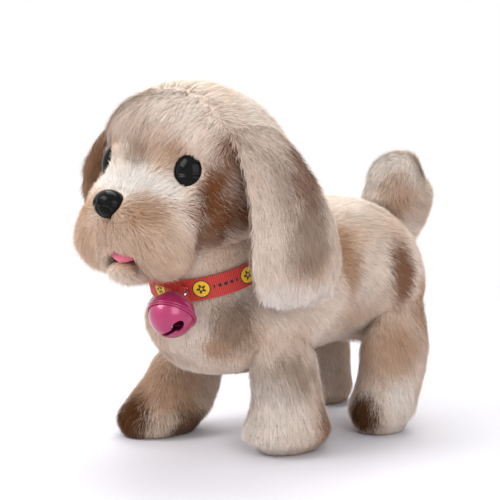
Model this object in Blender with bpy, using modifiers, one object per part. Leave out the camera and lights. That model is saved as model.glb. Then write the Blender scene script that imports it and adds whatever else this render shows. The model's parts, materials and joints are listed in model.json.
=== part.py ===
# A walking plush puppy: a geared walking chassis inside a stuffed body.
# The pup faces -Y, its left side is +X, and it stands on z = 0.
import math

import bmesh
import bpy
from mathutils import Matrix, Vector

MM = 0.001
PUP = "plush_pup"

# Clearances shared by every piece
FIT = 0.1 * MM
RUN = 0.3 * MM
SEAT = 0.3 * MM
SWEEP = 1.2 * MM
PASS = 2 * MM

# Walking gear: hips, swing and the row of gears between them
HIP_HEIGHT = 60 * MM
FRONT_HIP_Y = -31 * MM
HIP_SPACING = 88 * MM
REAR_HIP_Y = FRONT_HIP_Y + HIP_SPACING
FRONT_HIP = Vector((0, FRONT_HIP_Y, HIP_HEIGHT))
REAR_HIP = Vector((0, REAR_HIP_Y, HIP_HEIGHT))
LEG_SWING = math.radians(13)
CRANK_ARM = 14 * MM
CRANK_HEIGHT = HIP_HEIGHT + CRANK_ARM
CRANK_THROW = CRANK_ARM * math.tan(LEG_SWING)
GEAR_TEETH = 22
GEARS_IN_ROW = 5
GEAR_PITCH = HIP_SPACING / (GEARS_IN_ROW - 1)
GEAR_MODULE = GEAR_PITCH / GEAR_TEETH
GEAR_TIP = (GEAR_TEETH / 2 + 0.9) * GEAR_MODULE
PINION_TEETH = 10
PINION_LEAN = math.radians(60)
GEAR_BACKLASH = 0.2 * MM
GEAR_ROOT_FILL = 0.92
GEAR_WIDTH = 4 * MM
GEAR_X = 11 * MM
SHAFT_RADIUS = 1.5 * MM
AXLE_PROUD = 0.5 * MM
PINION_PLAY = 1 * MM
PINION_SHAFT_IN = 5 * MM

# Chassis: a clamshell split on the middle plane
CHASSIS_HALF = 16 * MM
CHASSIS_WALL = 1.4 * MM
CHASSIS_INSIDE = CHASSIS_HALF - CHASSIS_WALL
BELLY_DROP = 14.5 * MM
CHASSIS_BELLY = HIP_HEIGHT - BELLY_DROP
GEAR_CLEAR = 0.6 * MM
CHASSIS_NOSE_RISE = 7 * MM
CHASSIS_REAR_RISE = 15 * MM
CHASSIS_REAR_RUN = 7 * MM
MOTOR_ROOF_REAR = 7 * MM
MOTOR_ROOF_FRONT = 4 * MM
MOTOR_ROOF_RUN = 8 * MM
GEAR_ROOM = GEAR_TIP + GEAR_CLEAR + CHASSIS_WALL
CHASSIS_FRONT_Y = FRONT_HIP_Y - GEAR_ROOM
CHASSIS_REAR_Y = REAR_HIP_Y + GEAR_ROOM
CHASSIS_SHOULDER = CRANK_HEIGHT + GEAR_ROOM
HATCH_TOP = CHASSIS_BELLY + CHASSIS_WALL
BAY_FRONT_Y = FRONT_HIP_Y + 19 * MM
BAY_SPARE = 8.2 * MM
SWITCH_ROOM = 12 * MM
SWITCH_Y = BAY_FRONT_Y - 7.5 * MM

# Cells, motor, board and speaker
CELL_RADIUS = 7.1 * MM
CELL_LENGTH = 50 * MM
CELL_NIPPLE_RADIUS = 2.6 * MM
CELL_NIPPLE_LENGTH = 1.2 * MM
CELL_SPARE = 1.5 * MM
MOTOR_RADIUS = 9 * MM
MOTOR_FLAT = 7.6 * MM
MOTOR_BOSS_RADIUS = 4 * MM
MOTOR_BOSS_LENGTH = 2 * MM
MOTOR_SHAFT_RADIUS = 1.2 * MM
MOTOR_BORE_DEPTH = 3 * MM
BOARD_LENGTH = 22 * MM
BOARD_HEIGHT = 20 * MM
BOARD_THICKNESS = 1.6 * MM
BOARD_CHIP = 7 * MM
CHIP_OFFSET = 4 * MM
CHIP_HEIGHT = 1.4 * MM
SPEAKER_RADIUS = 11 * MM
SPEAKER_DEPTH = 6 * MM
SPEAKER_CONE_DEPTH = 2 * MM
SPEAKER_RIM = 2 * MM
SPEAKER_DUST_CAP = 3 * MM
SPEAKER_MAGNET = 6 * MM
SWITCH_TRAVEL = 3 * MM
SWITCH_LENGTH = 4 * MM
SWITCH_WIDTH = 3 * MM
SWITCH_PROUD = 1.5 * MM
SWITCH_FLANGE = 1 * MM
SCREW_RADIUS = 1.2 * MM
SCREW_HEAD_RADIUS = 2.4 * MM
SCREW_HEAD = 0.9 * MM
SCREW_LENGTH = 8 * MM
SCREW_X = 6 * MM
POST_WALL = 1 * MM
TAB_HALF = 4 * MM
TAB_REACH = 1.5 * MM
TAB_FOOT = 1.2 * MM
TAB_THICKNESS = 1 * MM
SPEAKER_RISE = 6 * MM
SPEAKER_HEIGHT = HIP_HEIGHT + SPEAKER_RISE
BOARD_Y = FRONT_HIP_Y + 6 * MM

# Cranks and leg frames, side by side outside the chassis wall
CRANK_GAP = 0.6 * MM
CRANK_RADIUS = 6 * MM
CRANK_THICKNESS = 1.5 * MM
CRANK_PIN_RADIUS = 1.25 * MM
CRANK_PIN_LENGTH = 6 * MM
YOKE_GAP = 0.4 * MM
FRAME_THICKNESS = 3.5 * MM
FRAME_IN = CHASSIS_HALF + CRANK_GAP + CRANK_THICKNESS + CRANK_PIN_LENGTH + YOKE_GAP
FRAME_X = FRAME_IN + FRAME_THICKNESS / 2
FRAME_HUB = 4.5 * MM
FRAME_BAR = 3.4 * MM
FRAME_DROP = 46 * MM
YOKE_HALF = 4.2 * MM
YOKE_WALL = 2 * MM
SHAFT_PROUD = 1.5 * MM
HIP_SHAFT_REACH = FRAME_IN + FRAME_THICKNESS + SHAFT_PROUD

# Neck, nod and collar
NECK_LEAD = 16 * MM
NECK_Y = FRONT_HIP_Y - NECK_LEAD
NECK_RISE = 38 * MM
NECK_HEIGHT = HIP_HEIGHT + NECK_RISE
NECK = Vector((0, NECK_Y, NECK_HEIGHT))
NECK_RADIUS = 29.5 * MM
NECK_BORE = 18 * MM
NECK_BORE_DEPTH = 16 * MM
NECK_RIM = 1.5 * MM
NOD = math.radians(12)
TOWER_IN = 4 * MM
TOWER_THICKNESS = 2.6 * MM
TOWER_HALF = 5 * MM
TOWER_ROOT = 9 * MM
TOWER_FOOT = 14 * MM
LUG_IN = TOWER_IN + TOWER_THICKNESS + RUN
LUG_THICKNESS = 2.8 * MM
LUG_ROOT = 3.5 * MM
LUG_HALF = 4 * MM
PIN_PROUD = 0.5 * MM
PIN_RADIUS = 1.5 * MM
COLLAR_TILT = math.radians(16)
COLLAR_DROP = 9.5 * MM
COLLAR_WIDTH = 10 * MM
COLLAR_THICKNESS = 1.2 * MM
COLLAR_GROOVE = 0.8 * MM

# Bell on the collar, turned to the left of the chest
BELL_RADIUS = 11.5 * MM
BELL_WALL = 1 * MM
BELL_FLANGE = 0.9 * MM
BELL_TURN = math.radians(27)
BELL_OUT = 13.5 * MM
BELL_STANDOFF = 2 * MM
BELL_DROP = 8.5 * MM
BELL_SLOT = 2.2 * MM
BELL_SLOT_REACH = 7 * MM
BELL_HOLE = 2.6 * MM
BELL_PEA = 4 * MM
LOOP_RADIUS = 2.4 * MM
LOOP_WIRE = 0.6 * MM

# Skull, face and jaw
SKULL_CENTRE_STEP = Vector((0, -3 * MM, 36 * MM))
SKULL_CENTRE = NECK + SKULL_CENTRE_STEP
SKULL_RADII = Vector((30 * MM, 30 * MM, 31 * MM))
SKULL_WALL = 2 * MM
LUG_SPREAD = 18 * MM
EYE_RISE = 42 * MM
EYE_HEIGHT = NECK_HEIGHT + EYE_RISE
EYE_LEAD = 33.4 * MM
EYE_Y = NECK_Y - EYE_LEAD
EYE_X = 28.6 * MM
EYE_TURN = math.radians(50)
EYE_RADIUS = 6.4 * MM
EYE_DOME = 4.5 * MM
EYE_STEM = 2 * MM
EYE_BACK = 0.8 * MM
EYE_WASHER = 5 * MM
EYE_WASHER_GAP = 3.2 * MM
EYE_WASHER_THICKNESS = 1.5 * MM
EYE_STEM_PROUD = 1 * MM
EYE_HOLE_RUN = 6 * MM
NOSE_LEAD = 57.5 * MM
NOSE_Y = NECK_Y - NOSE_LEAD
NOSE_RISE = 26.5 * MM
NOSE_HEIGHT = NECK_HEIGHT + NOSE_RISE
NOSE_HALF_WIDTH = 9.5 * MM
NOSE_HALF_HEIGHT = 7.3 * MM
NOSE_DOME = 5 * MM
NOSE_STEM = 2.5 * MM
NOSE_STEM_LENGTH = 10 * MM
JAW_LEAD = 21 * MM
JAW_Y = NECK_Y - JAW_LEAD
JAW_RISE = 6 * MM
JAW_HEIGHT = NECK_HEIGHT + JAW_RISE
JAW_CLOSE = math.radians(6)
JAW_PIN_REACH = 11 * MM
JAW_LUG_IN = 7.5 * MM
JAW_LUG_THICKNESS = 2.6 * MM
JAW_LUG_HALF = 4 * MM
JAW_HUB = 3.4 * MM
JAW_BAR = 2 * MM
JAW_BAR_HALF = 4 * MM
MOUTH_ROOF_RISE = 7.5 * MM
MOUTH_ROOF = NECK_HEIGHT + MOUTH_ROOF_RISE
MOUTH_RISE = 1 * MM
MOUTH_RUN = 8 * MM
MOUTH_CEILING_RISE = 18 * MM
MOUTH_CEILING = NECK_HEIGHT + MOUTH_CEILING_RISE
TONGUE_HALF = 6.5 * MM
TONGUE_THICKNESS = 2.2 * MM
TONGUE_LENGTH = 22 * MM
TONGUE_BACK = 5 * MM
TONGUE_SINK = 1.25 * MM

# Tail on an upright pin behind the chassis
TAIL_PIN_Y = CHASSIS_REAR_Y + 4 * MM
TAIL_PIN_RADIUS = 1.2 * MM
TAIL_LUG_RISE = 20 * MM
TAIL_LUG_LOW = HIP_HEIGHT + TAIL_LUG_RISE
TAIL_LUG_THICKNESS = 2.4 * MM
TAIL_HUB_HEIGHT = 7 * MM
TAIL_HUB = 3.6 * MM
TAIL_BAR = 2 * MM
TAIL_ELBOW = 2.1 * MM
TAIL_SLOT_SPARE = 8 * MM
TAIL_WAG = math.radians(20)

# Ears
EAR_HINGE_X = 35 * MM
EAR_HINGE_RISE = 66 * MM
EAR_HINGE_Z = NECK_HEIGHT + EAR_HINGE_RISE

# Legs
LEG_X = 35.5 * MM

# Roundness of turned pieces and sides of the soft cages
ROUND = 16
FINE = 12
CAGE_SIDES = 10
SKULL_SIDES = 18
SKULL_RINGS = 10
NECK_SIDES = 20
NECK_RINGS = 10
COLLAR_SIDES = 24
BODY_SIDES = 14
FACE_SIDES = 16
BELL_SIDES = 20
BELL_STEPS = 4

# Torso stations from the front, then the rear hips: y, underside, top, half width, narrowing upwards
TORSO_FORE = (
    (-39 * MM, -11 * MM, 17 * MM, 22 * MM, 0),
    (-27 * MM, -22 * MM, 25 * MM, 36 * MM, 0),
    (-4 * MM, -25 * MM, 30 * MM, 43 * MM, 0),
    (21 * MM, -22 * MM, 36 * MM, 43 * MM, 0),
    (46 * MM, -19 * MM, 54 * MM, 42 * MM, 0),
)
TORSO_HIND = (
    (-22 * MM, -18 * MM, 58 * MM, 43 * MM, 0),
    (-2 * MM, -20 * MM, 56 * MM, 44 * MM, 0),
    (14 * MM, -18 * MM, 51 * MM, 40 * MM, 0),
    (23 * MM, -14 * MM, 40 * MM, 32 * MM, 0),
)
TORSO_CHEST_STEP = Vector((0, -46 * MM, 4 * MM))
TORSO_CHEST = FRONT_HIP + TORSO_CHEST_STEP
TORSO_RUMP_STEP = Vector((0, 30 * MM, 8 * MM))
TORSO_RUMP = REAR_HIP + TORSO_RUMP_STEP
WINDOW = 0.8 * MM

# Head stations from the neck pin, back of the head first: y, underside, top, half width, narrowing upwards
HEAD_FORM = (
    (34 * MM, 18 * MM, 60 * MM, 27 * MM, 0),
    (19 * MM, 2 * MM, 77 * MM, 43 * MM, -0.08),
    (-3 * MM, -5 * MM, 83.5 * MM, 48.5 * MM, -0.1),
    (-23 * MM, -8 * MM, 79.5 * MM, 46.5 * MM, -0.2),
    (-36 * MM, -9.5 * MM, 66 * MM, 41 * MM, 0.02),
    (-47 * MM, -8.5 * MM, 39 * MM, 35.5 * MM, 0.12),
    (-57 * MM, -5.5 * MM, 31.5 * MM, 28 * MM, 0),
)
HEAD_BACK_STEP = Vector((0, 41 * MM, 42 * MM))
HEAD_BACK = NECK + HEAD_BACK_STEP
HEAD_FRONT_STEP = Vector((0, -63 * MM, 14 * MM))
HEAD_FRONT = NECK + HEAD_FRONT_STEP

# Jaw stations from the neck pin, hinge first: y, underside, top, half width, narrowing upwards
JAW_FORM = (
    (-27 * MM, -5.5 * MM, 4 * MM, 12.5 * MM, 0),
    (-36 * MM, -9 * MM, 1.5 * MM, 17 * MM, 0),
    (-47 * MM, -11.5 * MM, -1 * MM, 17 * MM, 0),
    (-53 * MM, -10.5 * MM, -2 * MM, 13 * MM, 0),
)
JAW_BACK_STEP = Vector((0, -23 * MM, 0.5 * MM))
JAW_BACK = NECK + JAW_BACK_STEP
JAW_CHIN_STEP = Vector((0, -57 * MM, -6.2 * MM))
JAW_CHIN = NECK + JAW_CHIN_STEP

# Leg stations from the hip down: drop, shift along y, half width, half length
FORELEG = (
    (7 * MM, 0 * MM, 12 * MM, 15 * MM),
    (16 * MM, 0 * MM, 15 * MM, 21 * MM),
    (30 * MM, -1 * MM, 15 * MM, 21 * MM),
    (HIP_HEIGHT - 20 * MM, -3 * MM, 17 * MM, 21.5 * MM),
    (HIP_HEIGHT - 10 * MM, -5 * MM, 20 * MM, 24.5 * MM),
    (HIP_HEIGHT - 0.6 * MM, -5.5 * MM, 18 * MM, 22.5 * MM),
)
HINDLEG = (
    (7 * MM, -1 * MM, 12 * MM, 15 * MM),
    (16 * MM, -1 * MM, 15 * MM, 20.5 * MM),
    (30 * MM, 0 * MM, 15 * MM, 20.5 * MM),
    (HIP_HEIGHT - 20 * MM, 0 * MM, 16.5 * MM, 21 * MM),
    (HIP_HEIGHT - 10 * MM, 0 * MM, 19 * MM, 23 * MM),
    (HIP_HEIGHT - 0.6 * MM, 0 * MM, 17 * MM, 21 * MM),
)
LEG_CROWN = 4 * MM
SOLE_BULGE = 1.2 * MM
POCKET_DEPTH = 36 * MM

# Ear stations from the neck pin, seam first: height, x, y, half thickness, half width
EAR_FORM = (
    (62 * MM, 42.5 * MM, -5 * MM, 4.5 * MM, 17 * MM),
    (52 * MM, 51 * MM, -3 * MM, 5.5 * MM, 20 * MM),
    (36 * MM, 57 * MM, 2 * MM, 5.5 * MM, 24 * MM),
    (16 * MM, 57.5 * MM, 7 * MM, 6 * MM, 28 * MM),
    (-4 * MM, 55 * MM, 11 * MM, 6.5 * MM, 30 * MM),
    (-18 * MM, 52.5 * MM, 13 * MM, 5.5 * MM, 23 * MM),
)
EAR_SEAM_STEP = Vector((39 * MM, -6 * MM, 66 * MM))
EAR_SEAM = NECK + EAR_SEAM_STEP
EAR_TIP_STEP = Vector((51 * MM, 14 * MM, -24 * MM))
EAR_TIP = NECK + EAR_TIP_STEP

# Tail spine from the rear hips, root first: y, z, lean of the section in degrees, half width, half depth
TAIL_FORM = (
    (28.5 * MM, 40 * MM, 55, 12 * MM, 13 * MM),
    (31.5 * MM, 49 * MM, 75, 16 * MM, 18 * MM),
    (33 * MM, 59 * MM, 90, 18 * MM, 20 * MM),
    (31 * MM, 70 * MM, 110, 14.5 * MM, 16 * MM),
)
TAIL_ROOT_STEP = Vector((0, 27 * MM, 35 * MM))
TAIL_ROOT = REAR_HIP + TAIL_ROOT_STEP
TAIL_TIP_STEP = Vector((0, 27.5 * MM, 82 * MM))
TAIL_TIP = REAR_HIP + TAIL_TIP_STEP


# Stations moved from the hip or the neck that they are measured from
def placed(stations, start):
    return [(start.y + y, start.z + low, start.z + top, *rest) for y, low, top, *rest in stations]


TORSO = placed(TORSO_FORE, FRONT_HIP) + placed(TORSO_HIND, REAR_HIP)
HEAD = placed(HEAD_FORM, NECK)
JAW = placed(JAW_FORM, NECK)
EAR = [(NECK.z + z, x, NECK.y + y, thick, wide) for z, x, y, thick, wide in EAR_FORM]
TAIL = [(REAR_HIP.y + y, REAR_HIP.z + z, lean, wide, deep) for y, z, lean, wide, deep in TAIL_FORM]


# Scene and materials
def clear_scene():
    for item in list(bpy.data.objects):
        bpy.data.objects.remove(item, do_unlink=True)


def new_collection(name):
    made = bpy.data.collections.new(name)
    bpy.context.scene.collection.children.link(made)
    return made


clear_scene()
PARTS = new_collection(PUP)
CUTTERS = new_collection(PUP + "_cutters")


def material(name, colour, roughness=0.5, metallic=0.0):
    made = bpy.data.materials.new(name)
    made.use_nodes = True
    shader = made.node_tree.nodes["Principled BSDF"]
    shader.inputs["Base Color"].default_value = (*colour, 1.0)
    shader.inputs["Roughness"].default_value = roughness
    shader.inputs["Metallic"].default_value = metallic
    made.diffuse_color = (*colour, 1.0)
    return made


CREAM_PLUSH = material("cream_plush", (0.72, 0.60, 0.47), 0.95)
TAN_PLUSH = material("tan_plush", (0.46, 0.32, 0.21), 0.95)
RED_RIBBON = material("red_ribbon", (0.55, 0.02, 0.03), 0.7)
PINK_FELT = material("pink_felt", (0.75, 0.20, 0.25), 0.9)
BLACK_ABS = material("black_abs", (0.012, 0.012, 0.014), 0.15)
PINK_METAL = material("pink_lacquered_steel", (0.62, 0.03, 0.18), 0.25, 0.6)
STEEL = material("bright_steel", (0.6, 0.6, 0.62), 0.3, 1.0)
GREY_ABS = material("grey_abs", (0.22, 0.23, 0.25), 0.5)
WHITE_POM = material("white_acetal", (0.8, 0.8, 0.78), 0.4)
GREEN_BOARD = material("green_board", (0.02, 0.18, 0.06), 0.5)
CELL_JACKET = material("cell_jacket", (0.05, 0.05, 0.06), 0.3, 0.4)


# Making and combining solids
def place(name, data, paint=None, parent=None, matrix=None):
    made = bpy.data.objects.new(name, data)
    if paint is None:
        CUTTERS.objects.link(made)
        made.hide_render = True
        made.display_type = "WIRE"
    else:
        PARTS.objects.link(made)
        data.materials.append(paint)
    if parent is not None:
        made.parent = parent
        made.matrix_parent_inverse = parent.matrix_basis.inverted()
    if matrix is not None:
        made.matrix_basis = matrix
    return made


# An empty on a joint's axis, for the pieces that turn about it
def pivot(name, position):
    made = bpy.data.objects.new(name, None)
    PARTS.objects.link(made)
    made.matrix_basis = Matrix.Translation(position)
    made.empty_display_size = 5 * MM
    return made


def mesh_from(name, bm):
    bmesh.ops.recalc_face_normals(bm, faces=bm.faces)
    data = bpy.data.meshes.new(name)
    bm.to_mesh(data)
    bm.free()
    return data


def box(name, low, high, paint=None, parent=None):
    low = Vector(low)
    high = Vector(high)
    bm = bmesh.new()
    size = Matrix.Diagonal((high - low).to_4d())
    bmesh.ops.create_cube(bm, size=1, matrix=Matrix.Translation((low + high) / 2) @ size)
    return place(name, mesh_from(name, bm), paint, parent)


def rod(name, start, end, radius, paint=None, parent=None, sides=ROUND, tip=None):
    start = Vector(start)
    end = Vector(end)
    bm = bmesh.new()
    turn = Vector((0, 0, 1)).rotation_difference(end - start).to_matrix().to_4x4()
    bmesh.ops.create_cone(
        bm, cap_ends=True, segments=sides, radius1=radius,
        radius2=radius if tip is None else tip, depth=(end - start).length,
        matrix=Matrix.Translation((start + end) / 2) @ turn)
    return place(name, mesh_from(name, bm), paint, parent)


def ball(name, centre, radii, paint=None, parent=None, sides=ROUND, rings=10):
    bm = bmesh.new()
    bmesh.ops.create_uvsphere(
        bm, u_segments=sides, v_segments=rings, radius=1,
        matrix=Matrix.Translation(centre) @ Matrix.Diagonal(Vector(radii).to_4d()))
    return place(name, mesh_from(name, bm), paint, parent)


# Points of a circle in the drawing plane, for outlines and holes
def circle(centre, radius, sides=ROUND):
    steps = [2 * math.pi * i / sides for i in range(sides)]
    return [(centre[0] + radius * math.cos(a), centre[1] + radius * math.sin(a)) for a in steps]


# A flat outline with holes is drawn as a filled 2D curve, thickened, then turned into a mesh
SIDE_VIEW = Matrix(((0, 0, 1, 0), (1, 0, 0, 0), (0, 1, 0, 0), (0, 0, 0, 1)))


def plate(name, outlines, thickness, matrix, paint=None, parent=None):
    curve = bpy.data.curves.new(name, "CURVE")
    curve.dimensions = "2D"
    curve.fill_mode = "BOTH"
    curve.extrude = thickness / 2
    for outline in outlines:
        spline = curve.splines.new("POLY")
        spline.points.add(len(outline) - 1)
        spline.use_cyclic_u = True
        for point, (u, v) in zip(spline.points, outline):
            point.co = (u, v, 0, 1)
    drawing = bpy.data.objects.new(name + "_drawing", curve)
    bm = bmesh.new()
    bm.from_mesh(bpy.data.meshes.new_from_object(drawing))
    bpy.data.objects.remove(drawing)
    bmesh.ops.remove_doubles(bm, verts=bm.verts, dist=0.001 * MM)
    return place(name, mesh_from(name, bm), paint, parent, matrix)


# The same, drawn in side view (y, z) about a centre, with its middle at x
def side_plate(name, outlines, thickness, x, paint=None, parent=None, centre=(0, 0), turn=0.0):
    seat = Matrix.Translation((x, *centre)) @ Matrix.Rotation(turn, 4, "X") @ SIDE_VIEW
    return plate(name, outlines, thickness, seat, paint, parent)


def combine(target, others, operation):
    for other in others:
        step = target.modifiers.new(other.name, "BOOLEAN")
        step.operation = operation
        step.solver = "EXACT"
        step.object = other


def cut(target, *others):
    combine(target, others, "DIFFERENCE")


def fuse(target, *others):
    combine(target, others, "UNION")


def keep(target, *others):
    combine(target, others, "INTERSECT")


# A turned piece: a closed profile of (radius, height) run down its outer side
def turned(name, profile, paint=None, parent=None, matrix=None, steps=ROUND, closed=True):
    bm = bmesh.new()
    points = [bm.verts.new((radius, 0, height)) for radius, height in profile]
    pairs = list(zip(points, points[1:]))
    if closed:
        pairs.append((points[-1], points[0]))
    for pair in pairs:
        bm.edges.new(pair)
    data = bpy.data.meshes.new(name)
    bm.to_mesh(data)
    bm.free()
    made = place(name, data, paint, parent, matrix)
    screw = made.modifiers.new("turn", "SCREW")
    screw.steps = steps
    screw.render_steps = steps
    screw.use_merge_vertices = True
    screw.merge_threshold = 0.01 * MM
    return made


# A soft form: rings of (centre, half axis, half axis, narrowing) between two poles, then smoothed
def soft(name, rings, start, end, paint=None, parent=None, sides=CAGE_SIDES):
    swell = 3 / (2 + math.cos(2 * math.pi / sides))
    bm = bmesh.new()
    loops = []
    for centre, first, second, narrow in rings:
        steps = [2 * math.pi * (i + 0.5) / sides for i in range(sides)]
        loops.append([
            bm.verts.new(centre + swell * (
                first * math.cos(a) * (1 - narrow * math.sin(a)) + second * math.sin(a)))
            for a in steps])
    for near, far in zip(loops, loops[1:]):
        for i in range(sides):
            j = (i + 1) % sides
            bm.faces.new((near[i], near[j], far[j], far[i]))
    for pole, loop in ((start, loops[0]), (end, loops[-1])):
        tip = bm.verts.new(pole)
        for i in range(sides):
            bm.faces.new((tip, loop[i], loop[(i + 1) % sides]))
    made = place(name, mesh_from(name, bm), paint, parent)
    smooth = made.modifiers.new("smooth", "SUBSURF")
    smooth.levels = 1
    smooth.render_levels = 1
    return made


# Rings standing across Y, from stations of y, underside, top, half width and narrowing upwards
def rings_along_y(stations, extra=0.0):
    rings = []
    for y, low, high, half, narrow in stations:
        middle = Vector((0, y, (low + high) / 2))
        tall = Vector((0, 0, (high - low) / 2 + extra))
        rings.append((middle, Vector((half + extra, 0, 0)), tall, narrow))
    return rings


# Involute gear outline with straight flanks, first tooth on the given angle
def gear_outline(teeth, module, turn):
    pitch = teeth * module / 2
    base = pitch * math.cos(math.radians(20))
    tip = pitch + 0.9 * module
    root = pitch - 1.25 * module

    def half_angle(radius):
        lean = math.acos(min(1, base / radius))
        pressure = math.radians(20)
        growth = math.tan(pressure) - pressure - math.tan(lean) + lean
        return math.pi / (2 * teeth) + growth - GEAR_BACKLASH / (2 * pitch)

    at_tip = half_angle(tip)
    at_root = min(half_angle(max(root, base)), GEAR_ROOT_FILL * math.pi / teeth)
    outline = []
    for i in range(teeth):
        middle = turn + 2 * math.pi * i / teeth
        for radius, offset in ((root, -at_root), (tip, -at_tip), (tip, at_tip), (root, at_root)):
            outline.append((radius * math.cos(middle + offset), radius * math.sin(middle + offset)))
    return outline


# Layout worked out from the sizes above
GEAR_YS = [FRONT_HIP_Y + i * GEAR_PITCH for i in range(GEARS_IN_ROW)]
GEAR_MIDDLE = GEARS_IN_ROW // 2
PINION_REACH = (GEAR_TEETH + PINION_TEETH) * GEAR_MODULE / 2
MOTOR_Y = GEAR_YS[GEAR_MIDDLE] + PINION_REACH * math.cos(PINION_LEAN)
MOTOR_HEIGHT = CRANK_HEIGHT + PINION_REACH * math.sin(PINION_LEAN)
MOTOR_TOP = MOTOR_HEIGHT + MOTOR_RADIUS + CHASSIS_WALL + GEAR_CLEAR
BAY_REAR_Y = BAY_FRONT_Y + CELL_LENGTH + CELL_NIPPLE_LENGTH + BAY_SPARE
SCREW_Y = BAY_REAR_Y - SCREW_HEAD_RADIUS - POST_WALL
CELL_HEIGHT = HATCH_TOP + SEAT + CELL_RADIUS
CELL_X = CELL_RADIUS + FIT
COLLAR_UP = Vector((0, -math.sin(COLLAR_TILT), math.cos(COLLAR_TILT)))
COLLAR_FORE = Vector((0, -math.cos(COLLAR_TILT), -math.sin(COLLAR_TILT)))
COLLAR_CENTRE = NECK - COLLAR_DROP * COLLAR_UP
COLLAR_RADIUS = NECK_RADIUS - COLLAR_GROOVE + SEAT + COLLAR_THICKNESS
COLLAR_SEAT = Matrix.Translation(COLLAR_CENTRE) @ Matrix.Rotation(COLLAR_TILT, 4, "X")
TAIL_LUG_HIGH = TAIL_LUG_LOW + TAIL_LUG_THICKNESS + TAIL_HUB_HEIGHT + 2 * SEAT
FAR = 200 * MM


# Chassis outline in side view, grown evenly by a margin
def chassis_outline(margin=0.0):
    corners = (
        (CHASSIS_FRONT_Y, CHASSIS_BELLY + CHASSIS_NOSE_RISE),
        (BAY_FRONT_Y - SWITCH_ROOM, CHASSIS_BELLY),
        (REAR_HIP_Y - CHASSIS_REAR_RUN, CHASSIS_BELLY),
        (CHASSIS_REAR_Y, CHASSIS_BELLY + CHASSIS_REAR_RISE),
        (CHASSIS_REAR_Y, TAIL_LUG_HIGH + TAIL_LUG_THICKNESS),
        (MOTOR_Y + MOTOR_ROOF_REAR, MOTOR_TOP),
        (MOTOR_Y - MOTOR_ROOF_FRONT, MOTOR_TOP),
        (MOTOR_Y - MOTOR_RADIUS - MOTOR_ROOF_RUN, CHASSIS_SHOULDER),
        (CHASSIS_FRONT_Y, CHASSIS_SHOULDER),
    )
    grown = []
    for i, corner in enumerate(corners):
        here = Vector(corner)
        back = (here - Vector(corners[i - 1])).normalized()
        ahead = (Vector(corners[(i + 1) % len(corners)]) - here).normalized()
        out = Vector((back.y + ahead.y, -back.x - ahead.x))
        grown.append(tuple(here + out * margin / (1 + back.dot(ahead))))
    return grown


def chassis_half(name, side):
    middle = side * (SEAT / 2 + CHASSIS_HALF) / 2
    depth = CHASSIS_HALF - SEAT / 2
    half = side_plate(name, [chassis_outline()], depth, middle, GREY_ABS)
    hollow = side_plate(
        name + "_hollow", [chassis_outline(-CHASSIS_WALL)], CHASSIS_HALF,
        side * (CHASSIS_INSIDE - CHASSIS_HALF / 2))
    cut(half, hollow)
    tower = side_plate(
        name + "_tower", [(
            (CHASSIS_FRONT_Y + CHASSIS_WALL / 2, CHASSIS_SHOULDER - TOWER_ROOT),
            (CHASSIS_FRONT_Y + TOWER_FOOT, CHASSIS_SHOULDER - TOWER_ROOT),
            (NECK_Y + TOWER_HALF, NECK_HEIGHT + TOWER_HALF),
            (NECK_Y - TOWER_HALF, NECK_HEIGHT + TOWER_HALF),
            (NECK_Y - TOWER_HALF, CHASSIS_SHOULDER),
        )], TOWER_THICKNESS, side * (TOWER_IN + TOWER_THICKNESS / 2))
    lugs = [
        box(name + "_tail_lug_%d" % i,
            (min(side * SEAT / 2, side * TAIL_HUB), CHASSIS_REAR_Y - CHASSIS_WALL / 2, low),
            (max(side * SEAT / 2, side * TAIL_HUB), TAIL_PIN_Y + TAIL_HUB, low + TAIL_LUG_THICKNESS))
        for i, low in enumerate((TAIL_LUG_LOW, TAIL_LUG_HIGH))]
    fuse(half, tower, *lugs)
    return half


# Through holes shared by both halves of the chassis
def chassis_holes():
    reach = CHASSIS_HALF + PASS
    holes = []
    for name, y, z, radius in (
            ("front_hip_hole", FRONT_HIP_Y, HIP_HEIGHT, SHAFT_RADIUS + FIT),
            ("rear_hip_hole", REAR_HIP_Y, HIP_HEIGHT, SHAFT_RADIUS + FIT),
            ("front_crank_hole", FRONT_HIP_Y, CRANK_HEIGHT, SHAFT_RADIUS + RUN),
            ("rear_crank_hole", REAR_HIP_Y, CRANK_HEIGHT, SHAFT_RADIUS + RUN),
            ("neck_pin_hole", NECK_Y, NECK_HEIGHT, PIN_RADIUS + FIT)):
        holes.append(rod(name, (-reach, y, z), (reach, y, z), radius))
    holes.append(rod(
        "tail_pin_hole", (0, TAIL_PIN_Y, TAIL_LUG_LOW - PASS),
        (0, TAIL_PIN_Y, TAIL_LUG_HIGH + TAIL_LUG_THICKNESS + PASS), TAIL_PIN_RADIUS + FIT))
    holes.append(box(
        "battery_hatch", (-CHASSIS_INSIDE, BAY_FRONT_Y, CHASSIS_BELLY - PASS),
        (CHASSIS_INSIDE, BAY_REAR_Y, CHASSIS_BELLY + CHASSIS_WALL + FIT)))
    holes.append(box(
        "switch_slot",
        (-SWITCH_WIDTH / 2 - RUN, SWITCH_Y - SWITCH_LENGTH / 2 - RUN, CHASSIS_BELLY - PASS),
        (SWITCH_WIDTH / 2 + RUN, SWITCH_Y + SWITCH_LENGTH / 2 + SWITCH_TRAVEL + RUN,
         CHASSIS_BELLY + CHASSIS_WALL + FIT)))
    return holes


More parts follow.
